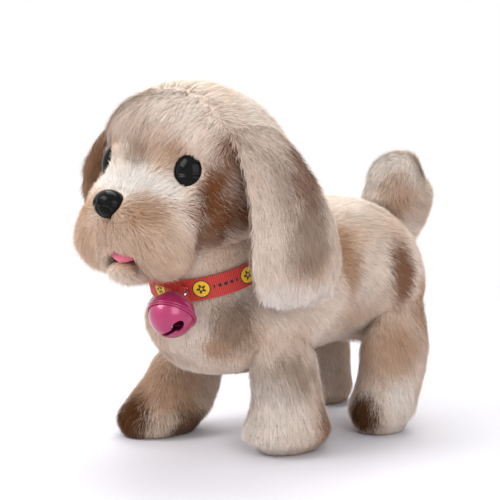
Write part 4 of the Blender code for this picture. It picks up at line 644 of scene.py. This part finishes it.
# Each strand is a leaf of two lengths, bent over along the comb, that turns its flat side outwards
def pile(name, skin, comb, seed, length=PILE_LENGTH, keep=keep_all, trim=None, share=1.0):
    draw = np.random.default_rng(seed)
    count = int(area_of(skin) * STRANDS_PER_MM2 * share)
    spots, out = scatter(skin, count, draw)
    chosen = keep(spots, out)
    spots, out = spots[chosen], out[chosen]
    order = np.lexsort((spots[:, 2], np.floor(spots[:, 1] / ROW_DEPTH)))
    spots, out = spots[order], out[order]
    count = len(spots)
    flow = unit(comb(spots))
    lock = np.stack([waves(spots, LOCK_SIZE, seed + i) for i in (1, 2, 3)], axis=1)
    flow = flow + LOCK_PULL * lock + draw.normal(scale=STRAY, size=(count, 3))
    flow = unit(flow - out * np.sum(flow * out, axis=1, keepdims=True))
    reach = length * draw.uniform(*PILE_CUT, size=count)
    if trim is not None:
        reach = reach * trim(spots)
    tilt = draw.normal(scale=LIFT_STRAY, size=count) + LIFT * waves(spots, LIFT_SIZE, seed + 4)
    half = 0.5 * reach[:, None]

    def grown(start, lean):
        turn = (lean + tilt)[:, None]
        return start + half * (out * np.cos(turn) + flow * np.sin(turn))

    root = spots - out * PILE_SINK
    bend = grown(root, PILE_ROOT)
    tip = grown(bend, PILE_TIP)
    wide = unit(np.cross(flow, out)) * (PILE_WIDTH / 2 * draw.uniform(*WIDTH_SPREAD, size=(count, 1)))
    narrow = BEND_WIDTH * wide
    points = np.stack([root + wide, root - wide, bend + narrow, bend - narrow, tip], axis=1)
    points[:, :, 2] = np.maximum(points[:, :, 2], FLOOR_CLEAR)
    mixed = bend + draw.normal(scale=DYE_BLUR, size=(count, 3))
    mottle = DYE_STRAY * draw.normal(size=(count, 1))
    mottle = mottle + DYE_LOCK * waves(spots, DYE_LOCK_SIZE, seed + 6)[:, None]
    base = dye_and_painted_light(mixed) * (1 + mottle)
    # Painted shade along each strand: darker at the root, deep in the pile, than at the tip
    colours = np.clip(base[:, None, :] * np.array(PAINTED_SHADE_ALONG)[None, :, None], *DYE_RANGE)
    shading = unit(out + SHADE_FLOW * flow + SHADE_STRAY * draw.normal(size=(count, 3)))
    made = []
    for part, start in enumerate(range(0, count, STRANDS_IN_PIECE)):
        piece = slice(start, start + STRANDS_IN_PIECE)
        suffix = "" if count <= STRANDS_IN_PIECE else "_%d" % (part + 1)
        made.append(leaves(name + suffix, points[piece], colours[piece], shading[piece]))
    return made


# One mesh of strands, with a cell of the bake map for each
def leaves(name, points, colours, shading):
    count = len(points)
    corner = np.array(((0, 3, 1), (0, 2, 3), (2, 4, 3)))
    index = (np.arange(count)[:, None, None] * 5 + corner[None]).ravel()
    mesh = bpy.data.meshes.new(name)
    mesh.vertices.add(count * 5)
    mesh.loops.add(len(index))
    mesh.polygons.add(count * 3)
    mesh.vertices.foreach_set("co", (points * MM).ravel())
    mesh.loops.foreach_set("vertex_index", index)
    mesh.polygons.foreach_set("loop_start", np.arange(count * 3) * 3)
    mesh.update(calc_edges=True)
    mesh.shade_smooth()
    layer = mesh.color_attributes.new("dye_and_painted_light", "FLOAT_COLOR", "POINT")
    shown = np.ones((count * 5, 4))
    shown[:, :3] = colours.reshape(-1, 3)
    layer.data.foreach_set("color", shown.ravel())
    across = math.ceil(math.sqrt(count))
    cell = np.stack([np.arange(count) % across, np.arange(count) // across], axis=1)
    spot = np.array(((0.2, 0.15), (0.8, 0.15), (0.25, 0.5), (0.75, 0.5), (0.5, 0.85)))
    places = ((cell[:, None, :] + spot[None]) / across).reshape(-1, 2)
    mesh.uv_layers.new(name="OFBake").data.foreach_set("uv", places[index].ravel())
    mesh.normals_split_custom_set_from_vertices(np.repeat(shading, 5, axis=0).tolist())
    mesh.materials.append(PILE)
    made = bpy.data.objects.new(name, mesh)
    bpy.context.scene.collection.objects.link(made)
    return made


def colour_skin(obj):
    mesh = obj.data
    points = np.empty(len(mesh.vertices) * 3)
    mesh.vertices.foreach_get("co", points)
    layer = mesh.color_attributes.new("dye_and_painted_light", "FLOAT_COLOR", "POINT")
    shown = np.ones((len(mesh.vertices), 4))
    shown[:, :3] = dye_and_painted_light(points.reshape(-1, 3) / MM) * BACKING_DYE
    layer.data.foreach_set("color", shown.ravel())


# A stuffed piece with its pile: put in place of its solid, and carried by its body or with its place baked
# into its mesh
def dress(skin, fur, node_name, carry):
    colour_skin(skin)
    for piece in (skin, *fur):
        carry(piece)
    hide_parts(node_name)


def riding(body):
    return lambda piece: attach(piece, body)


def bending():
    return lambda piece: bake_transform(piece)


# Torso, with the neck that carries the head and a window for the battery door
DOOR_LOW, DOOR_HIGH = corners("battery_door")
COLLAR_TILT = math.radians(16)
COLLAR_DROP = 9.5
COLLAR_WIDTH = 11.0
COLLAR_UP = np.array((0, -math.sin(COLLAR_TILT), math.cos(COLLAR_TILT)))
COLLAR_FORE = np.array((0, -math.cos(COLLAR_TILT), -math.sin(COLLAR_TILT)))
COLLAR_CENTRE = NECK - COLLAR_DROP * COLLAR_UP
COLLAR_RADIUS = corners("collar")[1][0]
NECK_PILE_TOP = COLLAR_WIDTH / 2 + 10
FRAME_X = middle("foreleg_left_frame")[0]
FRAME_SIDE = 8.5
FRAME_SWEEP = 12.0
DOOR_GAP, DOOR_PILE_GAP = 1, 1.5
# Cutters reach well past the skins
CUT_WIDE, CUT_DEEP = 200, 60


def in_window(points, margin):
    inside = (points[:, :2] > DOOR_LOW[:2] - margin) & (points[:, :2] < DOOR_HIGH[:2] + margin)
    return inside.all(axis=1) & (points[:, 2] < DOOR_HIGH[2] + 2)


# Where the leg frames swing under the torso, inside the legs, there is no pile
def by_leg_frames(points):
    near = np.zeros(len(points), bool)
    for hip in (FORE_HIP, HIND_HIP):
        near |= np.abs(points[:, 1] - hip[1]) < FRAME_SWEEP
    return near & (np.abs(np.abs(points[:, 0]) - FRAME_X) < FRAME_SIDE) & (points[:, 2] < FORE_HIP[2])


# No pile in the door's window, under the collar, or where the head turns on the neck
def torso_keep(points, normals):
    height = (points - COLLAR_CENTRE) @ COLLAR_UP
    under = np.linalg.norm(points - COLLAR_CENTRE, axis=1) < COLLAR_RADIUS + 3
    under &= np.abs(height) < COLLAR_WIDTH / 2 + 0.5
    neck = (np.linalg.norm(points - NECK, axis=1) < NECK_BALL + 5) & (height > NECK_PILE_TOP)
    return ~in_window(points, DOOR_PILE_GAP) & ~under & ~neck & ~by_leg_frames(points)


def torso_trim(points):
    gap = np.linalg.norm(points - NECK, axis=1) - NECK_BALL
    return clipped(gap, 8.8, 0.45)


def build_torso():
    rings = rings_along_y(TORSO_FORE, FORE_HIP) + rings_along_y(TORSO_HIND, HIND_HIP)
    shapes = [
        form(rings, CHEST_TIP, RUMP_TIP),
        ball(NECK, [NECK_BALL + 2] * 3)]
    window = block(DOOR_LOW - (DOOR_GAP, DOOR_GAP, CUT_DEEP), DOOR_HIGH + (DOOR_GAP, DOOR_GAP, 0.6))
    skin = stuffed("torso_skin", shapes, cutters=[window])
    fur = pile("torso_pile", skin, comb_torso, 11, keep=torso_keep, trim=torso_trim)
    dress(skin, fur, "torso_plush", riding("chassis"))


# Legs, joined to the torso by cloth that bends below the hip, with soles cut flat. The sections are
# square to the leg at the hip and level from LEVEL_DROP down
HIP_TOP, SOLE_DROP, LEVEL_DROP = 12, 7, 50
SOLE_HEIGHT = 0.4
SOLE_PILE_HEIGHT, SOLE_FACING = 2.0, -0.8
LEG_PILE = 6.0


def build_leg(name, side, hip, table, turn, seed, lean=0.0):
    start = np.array((side * LEG_X, hip[1], hip[2]))
    tilt = np.array(Matrix.Rotation(turn, 3, "X"))
    rings = []
    for drop, shift, half_x, half_y in table:
        centre = np.array((0, shift + lean * (1 - drop / hip[2]), -drop / math.cos(turn)))
        level = np.array(Matrix.Rotation(turn * max(0, 1 - drop / LEVEL_DROP), 3, "X"))
        rings.append((start + tilt @ centre, X * half_x, level @ Y * half_y, 0))
    top = start + tilt @ np.array((0, lean, HIP_TOP))
    sole = rings[-1][0] - (0, 0, SOLE_DROP)
    flat = block((-CUT_WIDE, -CUT_WIDE, -CUT_DEEP), (CUT_WIDE, CUT_WIDE, SOLE_HEIGHT))
    skin = stuffed(name + "_skin", [form(rings, top, sole)], cutters=[flat], inset=2.0)

    def above_floor(points, normals):
        return (points[:, 2] > SOLE_PILE_HEIGHT) & (normals[:, 2] > SOLE_FACING)

    def shorter_low(points):
        return clipped(points[:, 2], 12, 0.5)

    fur = pile(name + "_pile", skin, comb_down, seed, LEG_PILE, keep=above_floor, trim=shorter_low)
    carry = bending()
    dress(skin, fur, name + "_plush", carry)


# Head with its open mouth, flews and brow
EYE = np.array((27.9, NECK[1] - 29.9, NECK[2] + 41.0))
EYE_RADIUS = 9.2
EYE_TALL, EYE_DROP, EYE_TAPER = 1.16, 0.28, 0.22
EYE_WAY = np.array((math.sin(math.radians(50)), -math.cos(math.radians(50)), 0))
NOSE = np.array((0, NECK[1] - 57.5, NECK[2] + 26.5))
NOSE_SCALE = 0.92
NOSE_CLEAR = (9.5, 9, 7.3)
LIPS, LIPS_RADII = (0, -104, 103), (16, 10, 5)
# The lips rise to a peak under the nose; the cheek seam draws the muzzle in behind the flews
MOUTH_PEAK = NECK[2] + 6.5
MOUTH_EAVE = NECK[2] + 3.5
MOUTH_FAR_EAVE = NECK[2] + 0.5
MOUTH_NEAR = 18.5
MOUTH_FAR = -7.0
MOUTH_PEAK_X = 4
MOUTH_BACK = pivot("jaw_close")[1] + 5
MOUTH_CUT_FLOOR, MOUTH_CUT_FRONT = 40, -140
LIP_LINE, LIP_FRONT = NECK[2] - 4.5, NECK[1] - 50
JAW_CLIP_TOP = NECK[2] - 1.8
CHEEK_SEAM = spread(((39, -81.5, 128), (37, -79, 114), (28, -71.5, 99)), 8)
CHEEK_SEAM_WIDTH, CHEEK_SEAM_DEPTH = 3.4, 5.5
LIP_SEAM = ((0, -107, 119), (0, -109, 111), (0, -108, 105))
LIP_SEAM_WIDTH, LIP_SEAM_DEPTH = 3.0, 4.5
SOCKET_WIDTH, SOCKET_DEPTH = 11.0, 9.0
FLEW = np.array((18.5, -89.5, 107))
FLEW_RADII = (19.5, 18, 18.6)
# Pile of the head and by the nose, as shares of the usual length
HEAD_PILE, NOSE_PILE = 1.15, 0.55


# Distance from the nearer eye, which is taller than it is wide
def from_eyes(points):
    near = np.abs(points * X) + points * (Y + Z)
    return np.linalg.norm((near - EYE) / (1, 1, 1.25), axis=1)


# No pile inside the mouth, behind the nose or behind the eyes
def head_keep(points, normals):
    mouth = (points[:, 0] > MOUTH_FAR + 2) & (points[:, 0] < MOUTH_NEAR - 2)
    mouth &= (points[:, 2] < MOUTH_PEAK + 0.5) & (normals[:, 2] < -0.6)
    nose = np.linalg.norm((points - NOSE) / NOSE_CLEAR, axis=1) < 0.95
    return ~mouth & ~nose & (from_eyes(points) > EYE_RADIUS + 0.3)


# The pile is clipped short by the nose, the eyes, the cheek seams, the lips and the collar
def head_trim(points):
    nose = clipped(np.linalg.norm(points - NOSE, axis=1), 30, NOSE_PILE / HEAD_PILE)
    eyes = clipped(from_eyes(points) - EYE_RADIUS, 8, 0.45)
    near = np.abs(points * X) + points * (Y + Z)
    seam = clipped(np.linalg.norm(near[:, None] - CHEEK_SEAM[None], axis=2).min(axis=1), 5, 0.4)
    lips = clipped(np.linalg.norm((points - LIPS) / LIPS_RADII, axis=1), 1.6, 0.5)
    collar = clipped(np.linalg.norm(points - COLLAR_CENTRE, axis=1) - COLLAR_RADIUS, 12, 0.3)
    return HEAD_PILE * nose * eyes * seam * lips * collar


def build_head():
    shapes = [
        form(rings_along_y(HEAD, NECK), HEAD_BACK, MUZZLE_TIP, sides=48),
        ball(FLEW, FLEW_RADII),
        ball(FLEW * (-1, 1, 1), FLEW_RADII)]
    gable = [
        (MOUTH_FAR, MOUTH_CUT_FLOOR), (MOUTH_NEAR, MOUTH_CUT_FLOOR), (MOUTH_NEAR, MOUTH_EAVE),
        (MOUTH_PEAK_X, MOUTH_PEAK), (MOUTH_FAR, MOUTH_FAR_EAVE)]
    points = [(x, y, z) for y in (MOUTH_CUT_FRONT, MOUTH_BACK) for x, z in gable]
    faces = [(i, i + 5, (i + 1) % 5 + 5, (i + 1) % 5) for i in range(5)]
    faces += [(0, 1, 2, 3, 4), (9, 8, 7, 6, 5)]
    mouth = new_object("cutter", points, faces, BACKING, smooth=False)
    skin = stuffed("head_skin", shapes, cutters=[mouth])
    for side in (1, -1):
        crease(skin, CHEEK_SEAM * (side, 1, 1), CHEEK_SEAM_WIDTH, CHEEK_SEAM_DEPTH)
        socket = (EYE + EYE_WAY) * (side, 1, 1)
        crease(skin, [socket - Z, socket + Z], SOCKET_WIDTH, SOCKET_DEPTH)
    crease(skin, LIP_SEAM, LIP_SEAM_WIDTH, LIP_SEAM_DEPTH)
    fur = pile("head_pile", skin, comb_head, 23, keep=head_keep, trim=head_trim)
    dress(skin, fur, "head_plush", riding("head"))


def build_jaw():
    start = NECK + (JAW_SIDE, 0, 0)
    hinge, chin = start + (0, -23, 0.5), start + (0, -58.5, -5.4)
    skin = stuffed("jaw_skin", [form(rings_along_y(JAW, start), hinge, chin)], voxel=1.6, inset=1.6)

    def outside(points, normals):
        in_mouth = (points[:, 2] > LIP_LINE) & (points[:, 1] > LIP_FRONT)
        return ~in_mouth & ((normals[:, 2] < 0.55) | (points[:, 1] < LIP_FRONT - 1))

    def shorter_high(points):
        return clipped(JAW_CLIP_TOP - points[:, 2], 4.2, 0.4)

    fur = pile("jaw_pile", skin, comb_jaw, 31, length=5.0, keep=outside, trim=shorter_high)
    dress(skin, fur, "jaw_plush", riding("jaw"))


# Ears hang from their seams. The far one hangs further forward and out
EAR_SEAM, EAR_TIP = (39, -6, 66), (51, 14, -24)
EAR_HANG = 30


def build_ear(name, side, seed, forward=0.0, outward=0.0):
    flip = np.array((side, 1, 1))
    rings = []
    for z, x, y, thick, wide in EAR:
        hang = min(1, (EAR_SEAM[2] - z) / EAR_HANG)
        rings.append(((NECK + (x + outward * hang, y - forward * hang, z)) * flip, X * thick, Y * wide, 0))
    seam = (NECK + EAR_SEAM) * flip
    tip = (NECK + EAR_TIP + (outward, -forward, 0)) * flip
    skin = stuffed(name + "_skin", [form(rings, seam, tip)], voxel=1.8, rounds=6, inset=2.0)
    fur = pile(name + "_pile", skin, comb_down, seed, length=6.0)
    carry = bending()
    dress(skin, fur, name, carry)


def build_tail():
    rings = []
    for y, z, lean, wide, deep in TAIL:
        way = math.radians(lean)
        across = np.array((0, math.sin(way), -math.cos(way)))
        rings.append((HIND_HIP + (0, y, z), X * wide, across * deep, 0))
    skin = stuffed("tail_skin", [form(rings, TAIL_ROOT, TAIL_TIP)], voxel=1.8, rounds=6, inset=2.2)
    fur = pile("tail_pile", skin, comb_tail, 41)
    dress(skin, fur, "tail_plush", riding("tail"))


# Eyes, longer below than above
def build_eyes():
    for name, side in (("eye_left", 1), ("eye_right", -1)):
        centre = EYE * (side, 1, 1)
        points, faces = ball((0, 0, 0), [EYE_RADIUS] * 3, 48)
        points = np.array(points)
        low = np.clip(-points[:, 2] / EYE_RADIUS, 0, 1)
        points[:, :2] *= (1 - EYE_TAPER * low ** 2)[:, None]
        points[:, 2] *= EYE_TALL + EYE_DROP * low
        made = new_object(name + "_dome", points + centre, faces, BLACK)
        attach(made, "head")
        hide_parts(name)


# Nose: two slits and a groove below, drawn in narrower towards the lip
NOSE_RADII = (9.8, 8.0, 7.6)
NOSE_TAPER = 0.32
NOSTRIL_WIDTH, NOSTRIL_DEPTH = 1.1, 1.3
NOSE_GROOVE_WIDTH, NOSE_GROOVE_DEPTH = 0.7, 0.7
NOSTRIL = ((2.4, -7.6, 1.6), (4.6, -6.8, -0.4), (6.8, -4.8, -2.6))


def build_nose():
    points, faces = ball((0, 0, 0), NOSE_RADII, 96)
    points = np.array(points)
    drop = np.clip(-points[:, 2] / NOSE_RADII[2], 0, 1)
    points[:, 0] *= 1 - NOSE_TAPER * drop ** 1.5
    out = unit(points)
    for side in (1, -1):
        line = spread(np.array(NOSTRIL) * (side, 1, 1), 8)
        gap = np.linalg.norm(points[:, None] - line[None], axis=2).min(axis=1)
        points -= out * (NOSTRIL_DEPTH * np.exp(-(gap / NOSTRIL_WIDTH) ** 2))[:, None]
    split = np.abs(points[:, 0]) / NOSE_GROOVE_WIDTH
    lower = np.clip(-points[:, 2] / 2, 0, 1) * (points[:, 1] < 0)
    points -= out * (NOSE_GROOVE_DEPTH * np.exp(-split ** 2) * lower)[:, None]
    made = new_object("nose_moulding", points * NOSE_SCALE + NOSE, faces, BLACK)
    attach(made, "head")
    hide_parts("nose")


# The tongue lolls a little to its left, with a groove along its middle
TONGUE_SIDE = 3.5
TONGUE_LEAD, TONGUE_RISE = -0.5, 1.8
TONGUE_WIDEN, TONGUE_HALF, TONGUE_FALL = 1.3, 2.6, 0.55
TONGUE_WIDTHS = ((-0.9, 0.86), (-0.5, 1.0), (0.0, 1.0), (0.5, 0.95), (0.9, 0.9))
TONGUE_GROOVE, TONGUE_GROOVE_WIDTH = 0.6, 1.4


def build_tongue():
    low, high = corners("tongue")
    centre = (low + high) / 2
    half = (high - low) / 2
    fall = (high[2] - low[2]) / (high[1] - low[1]) * TONGUE_FALL
    rings = []
    for share, wide in TONGUE_WIDTHS:
        y = centre[1] + share * half[1] + TONGUE_LEAD
        z = centre[2] + fall * share * half[1] + TONGUE_RISE
        rings.append((np.array((TONGUE_SIDE, y, z)), X * half[0] * wide * TONGUE_WIDEN, Z * TONGUE_HALF, 0))
    points, faces = form(rings, rings[0][0] - (0, 2.5, 0), rings[-1][0] + (0, 1, 0), sides=32)
    points = np.array(points)
    groove = np.exp(-((points[:, 0] - TONGUE_SIDE) / TONGUE_GROOVE_WIDTH) ** 2)
    points[:, 2] -= TONGUE_GROOVE * groove
    made = new_object("tongue_felt", points, faces, PINK_FELT)
    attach(made, "jaw")
    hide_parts("tongue")


# Ribbon: a strip along a path, ribbed on its face, with the place on the weave kept at each point
RIB_RELIEF = 0.1
RIB_STEPS = 6
FACE_STEPS, BACK_STEPS = 12, 3


def ribbon(name, path, across, out, width, thick, material, closed=False):
    path, across, out = (np.array(rows, float) for rows in (path, across, out))
    run = np.concatenate([[0], np.cumsum(np.linalg.norm(np.diff(path, axis=0), axis=1))])
    face = [(width * (k / FACE_STEPS - 0.5), thick / 2) for k in range(FACE_STEPS + 1)]
    back = [(width * (0.5 - k / BACK_STEPS), -thick / 2) for k in range(BACK_STEPS + 1)]
    rows = np.array(face + back)
    relief = RIB_RELIEF * np.sin(2 * math.pi * run / RIB_PITCH)
    lift = rows[None, :, 1] + relief[:, None] * (rows[None, :, 1] > 0)
    points = path[:, None] + across[:, None] * rows[None, :, 0:1] + out[:, None] * lift[:, :, None]
    count, wide = len(path), len(rows)
    faces = []
    for i in range(count if closed else count - 1):
        j = (i + 1) % count
        for k in range(wide):
            after = (k + 1) % wide
            faces.append((i * wide + k, j * wide + k, j * wide + after, i * wide + after))
    if not closed:
        faces += [tuple(range(wide)), tuple(range(count * wide - 1, (count - 1) * wide - 1, -1))]
    made = new_object(name, points.reshape(-1, 3), faces, material)
    made.data.set_sharp_from_angle(angle=math.radians(60))
    weave = np.zeros((count, wide, 3))
    weave[:, :, 0] = run[:, None]
    weave[:, :, 1] = rows[None, :, 0]
    made.data.attributes.new("weave", "FLOAT_VECTOR", "POINT").data.foreach_set("vector", weave.ravel())
    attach(made, "chassis")
    return made


BELL_HINGE = pivot("bell_swing")
BELL_TURN = math.radians(27)
BELL_OUT = np.array((math.sin(BELL_TURN), -math.cos(BELL_TURN), 0))
BELL_SIDE = np.array((math.cos(BELL_TURN), math.sin(BELL_TURN), 0))
COLLAR_THICK = 0.8
COLLAR_SETBACK = 0.2
TIE_LEAD, TIE_RADIUS, TIE_WIDTH, TIE_THICK = 0.8, 2.4, 3.4, 0.5
RIBBON_ENDS = (("ribbon_end_long", (3, -81, 86)), ("ribbon_end_short", (7.5, -81, 88.5)))
RIBBON_END_WIDTH = 3.6
RIBBON_KNOT = BELL_HINGE + (-1.5, -0.5, 1.5)
RIBBON_BOW = np.array((0, -1.2, 0.8))


def build_collar():
    radius = COLLAR_RADIUS - COLLAR_SETBACK
    turns = np.arange(0, 2 * math.pi, RIB_PITCH / RIB_STEPS / radius)
    out = np.outer(np.cos(turns), -COLLAR_FORE) + np.outer(np.sin(turns), X)
    path = COLLAR_CENTRE + radius * out
    across = np.tile(COLLAR_UP, (len(path), 1))
    made = ribbon("collar_ribbon", path, across, out, COLLAR_WIDTH, COLLAR_THICK, GROSGRAIN, True)
    turns = np.arange(0, 2 * math.pi, 0.1)
    out = np.outer(np.cos(turns), BELL_OUT) + np.outer(np.sin(turns), Z)
    path = BELL_HINGE + TIE_LEAD * BELL_OUT + TIE_RADIUS * out
    across = np.tile(BELL_SIDE, (len(out), 1))
    tied = [ribbon("bell_tie", path, across, out, TIE_WIDTH, TIE_THICK, RED_CLOTH, True)]
    for name, tip in RIBBON_ENDS:
        line = spread([RIBBON_KNOT, (RIBBON_KNOT + tip) / 2 + RIBBON_BOW, np.array(tip)], 12)
        way = unit(np.gradient(line, axis=0))
        side = unit(Z - way * way[:, 2:3])
        tied.append(ribbon(name, line, side, np.cross(way, side), RIBBON_END_WIDTH, TIE_THICK, RED_CLOTH))
    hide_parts("collar")


# Jingle bell: two pressed shells with rolled flanges, and a keyhole cut through the lower one
BELL_RADIUS = 11.0
BELL_WALL = 0.8
BELL_FLANGE = 0.9
FLANGE_TOP, FLANGE_ROUND, SHELL_GAP = 1.0, 0.2, 0.1
BELL_LEAN = math.radians(40)
BELL_REACH, BELL_DROP = 13.5, 8.5
SLOT_REACH, SLOT_HALF, SLOT_HOLE = 7, 1.1, 2.6
SLOT_TOP = 4
SLOT_TWIST = 0.5
HOLE_SIDES = 32


def turned(name, profile, seat, sides=96):
    points, faces = [], []
    for i in range(sides):
        turn = 2 * math.pi * i / sides
        points += [(r * math.cos(turn), r * math.sin(turn), h) for r, h in profile]
        for k in range(len(profile)):
            after = (k + 1) % len(profile)
            j = (i + 1) % sides
            faces.append(tuple(a * len(profile) + b for a, b in ((i, k), (i, after), (j, after), (j, k))))
    return new_object(name, np.array(points) @ seat[0].T + seat[1], faces, LACQUER)


def build_bell():
    axis = math.cos(BELL_LEAN) * Z - math.sin(BELL_LEAN) * BELL_OUT
    centre = BELL_HINGE + BELL_REACH * BELL_OUT - BELL_DROP * Z
    slot = unit(BELL_SIDE - SLOT_TWIST * np.cross(axis, BELL_SIDE))
    seat = (np.stack([slot, np.cross(axis, slot), axis], axis=1), centre)
    rim = BELL_RADIUS + BELL_FLANGE
    steps = np.radians(np.linspace(4, 86, 28))
    hollow = 1 - BELL_WALL / BELL_RADIUS
    for name, up, body_node in (("bell_upper_shell", 1, "bell_cap"), ("bell_lower_shell", -1, "bell_cup")):
        outer = [(BELL_RADIUS * math.sin(a), BELL_RADIUS * math.cos(a)) for a in steps]
        inner = [(r * hollow, h * hollow) for r, h in outer[::-1]]
        lip = [
            (rim - FLANGE_ROUND, FLANGE_TOP), (rim, FLANGE_TOP - FLANGE_ROUND),
            (rim, SHELL_GAP + FLANGE_ROUND), (rim - FLANGE_ROUND, SHELL_GAP),
            (BELL_RADIUS - BELL_WALL, SHELL_GAP)]
        profile = [(r, up * h) for r, h in outer + lip + inner]
        made = turned(name, profile[::up], seat)
        if up < 0:
            keyhole(made, seat)
        made.data.set_sharp_from_angle(angle=math.radians(50))
        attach(made, "bell")
        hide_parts(body_node)


def keyhole(shell, seat):
    low = -BELL_RADIUS - SLOT_TOP
    cutters = [block((-SLOT_REACH, -SLOT_HALF, low), (SLOT_REACH, SLOT_HALF, -SLOT_TOP))]
    for end in (-SLOT_REACH, SLOT_REACH):
        turns = np.arange(HOLE_SIDES) * 2 * math.pi / HOLE_SIDES
        ring = [(end + SLOT_HOLE * math.cos(a), SLOT_HOLE * math.sin(a)) for a in turns]
        points = [(x, y, h) for h in (low, -SLOT_TOP) for x, y in ring]
        faces = []
        for i in range(HOLE_SIDES):
            j = (i + 1) % HOLE_SIDES
            faces.append((i, j, HOLE_SIDES + j, HOLE_SIDES + i))
        faces += [tuple(range(HOLE_SIDES))[::-1], tuple(range(HOLE_SIDES, 2 * HOLE_SIDES))]
        cutters.append(new_object("cutter", points, faces, LACQUER, smooth=False))
    for cutter in cutters:
        placed = np.eye(4)
        placed[:3, :3], placed[:3, 3] = seat[0], seat[1] * MM
        cutter.data.transform(Matrix(placed))
        modify(shell, "BOOLEAN", object=cutter, operation="DIFFERENCE", solver="EXACT")
    applied(shell)
    for cutter in cutters:
        bpy.data.objects.remove(cutter)


build_torso()
build_leg("foreleg_left", 1, FORE_HIP, FORELEG, SWING, 51)
build_leg("foreleg_right", -1, FORE_HIP, FORELEG_AHEAD, -SWING, 52, lean=5)
build_leg("hindleg_left", 1, HIND_HIP, HINDLEG, -SWING, 53)
build_leg("hindleg_right", -1, HIND_HIP, HINDLEG, SWING, 54)
build_head()
build_jaw()
build_ear("ear_left", 1, 61)
build_ear("ear_right", -1, 62, forward=8, outward=3)
build_tail()
build_eyes()
build_nose()
build_tongue()
build_collar()
build_bell()

# Solids carried over from the part, each in the real material of its slot
SOLID = {
    "black_abs": BLACK, "pink_lacquered_steel": LACQUER, "cream_plush": BACKING, "tan_plush": BACKING,
    "red_ribbon": RED_CLOTH, "pink_felt": PINK_FELT, **INNER}
for solid in frame["nodes"].values():
    slot = solid.data.materials[0].name
    solid.data.materials.clear()
    solid.data.materials.append(SOLID[slot])


# Camera at the photograph's view
CAMERA_TURN = math.radians(49.3)
CAMERA_RISE = math.radians(8.2)
CAMERA_AIM = Vector((-24.7, 3.5, 90)) * MM
CAMERA_DISTANCE = 1.0
CAMERA_SENSOR, CAMERA_LENS = 36, 139.6


def build_camera():
    data = bpy.data.cameras.new("camera")
    data.sensor_width = CAMERA_SENSOR
    data.lens = CAMERA_LENS
    camera = bpy.data.objects.new("camera", data)
    bpy.context.scene.collection.objects.link(camera)
    level = math.cos(CAMERA_RISE)
    towards = Vector((
        math.sin(CAMERA_TURN) * level, -math.cos(CAMERA_TURN) * level, math.sin(CAMERA_RISE)))
    camera.location = CAMERA_AIM + towards * CAMERA_DISTANCE
    camera.rotation_euler = towards.to_track_quat("Z", "Y").to_euler()
    bpy.context.scene.camera = camera


# Studio: white backdrop, pale floor and soft lamps, each with its place and size in metres, and watts
WORLD_LEVEL = 0.7
FLOOR_HALF = 3000
FLOOR_FADE = (0.16, 0.5)
LAMP_AIM = Vector((0, 0, 0.08))
LAMPS = (
    ("key", (-0.5, -1.0, 1.1), 0.8, 12), ("fill", (1.2, -0.5, 0.8), 0.9, 7),
    ("top", (-0.5, 0.5, 1.3), 1.1, 14))


def build_studio():
    scene = bpy.context.scene
    scene.view_settings.view_transform = "Standard"
    world = bpy.data.worlds.new("studio")
    scene.world = world
    world.use_nodes = True
    path = node(world, "ShaderNodeLightPath")
    level = WORLD_LEVEL
    for ray in ("Is Camera Ray", "Is Glossy Ray", "Is Transmission Ray"):
        shown = node(world, "ShaderNodeMath", {0: path.outputs[ray], 1: level}, operation="MAXIMUM")
        level = shown.outputs["Value"]
    wire(world, world.node_tree.nodes["Background"], {"Color": (1, 1, 1, 1), "Strength": level})
    spots = [(x * FLOOR_HALF, y * FLOOR_HALF, 0) for x, y in ((-1, -1), (1, -1), (1, 1), (-1, 1))]
    new_object("floor", spots, [(0, 1, 2, 3)], studio_floor())
    for name, place, size, power in LAMPS:
        lamp = bpy.data.lights.new(name, "AREA")
        lamp.size = size
        lamp.energy = power
        made = bpy.data.objects.new(name, lamp)
        made.location = place
        made.rotation_euler = (Vector(place) - LAMP_AIM).to_track_quat("Z", "Y").to_euler()
        scene.collection.objects.link(made)


# Painted board: pale and matt, it keeps the shadow near the toy and turns white further off
def studio_floor():
    made, shader = finish("pale_floor", Roughness=0.6, Base_Color=paint("#E2E0E6"))
    place = node(made, "ShaderNodeTexCoord")
    far = node(made, "ShaderNodeVectorMath", {0: place.outputs["Object"]}, operation="LENGTH")
    fade = node(made, "ShaderNodeMapRange", {
        "Value": far.outputs["Value"], "From Min": FLOOR_FADE[0], "From Max": FLOOR_FADE[1]},
        interpolation_type="SMOOTHSTEP")
    path = node(made, "ShaderNodeLightPath")
    seen = path.outputs["Is Camera Ray"]
    for ray in ("Is Glossy Ray", "Is Transmission Ray"):
        either = node(made, "ShaderNodeMath", {0: seen, 1: path.outputs[ray]}, operation="MAXIMUM")
        seen = either.outputs["Value"]
    share = node(made, "ShaderNodeMath", {0: seen, 1: fade.outputs["Result"]}, operation="MULTIPLY")
    glow = node(made, "ShaderNodeEmission", {"Color": (1, 1, 1, 1), "Strength": 1.0})
    mixed = node(made, "ShaderNodeMixShader", {
        "Fac": share.outputs["Value"], 1: shader.outputs["BSDF"], 2: glow.outputs["Emission"]})
    wire(made, made.node_tree.nodes["Material Output"], {"Surface": mixed.outputs["Shader"]})
    return made


build_camera()
build_studio()
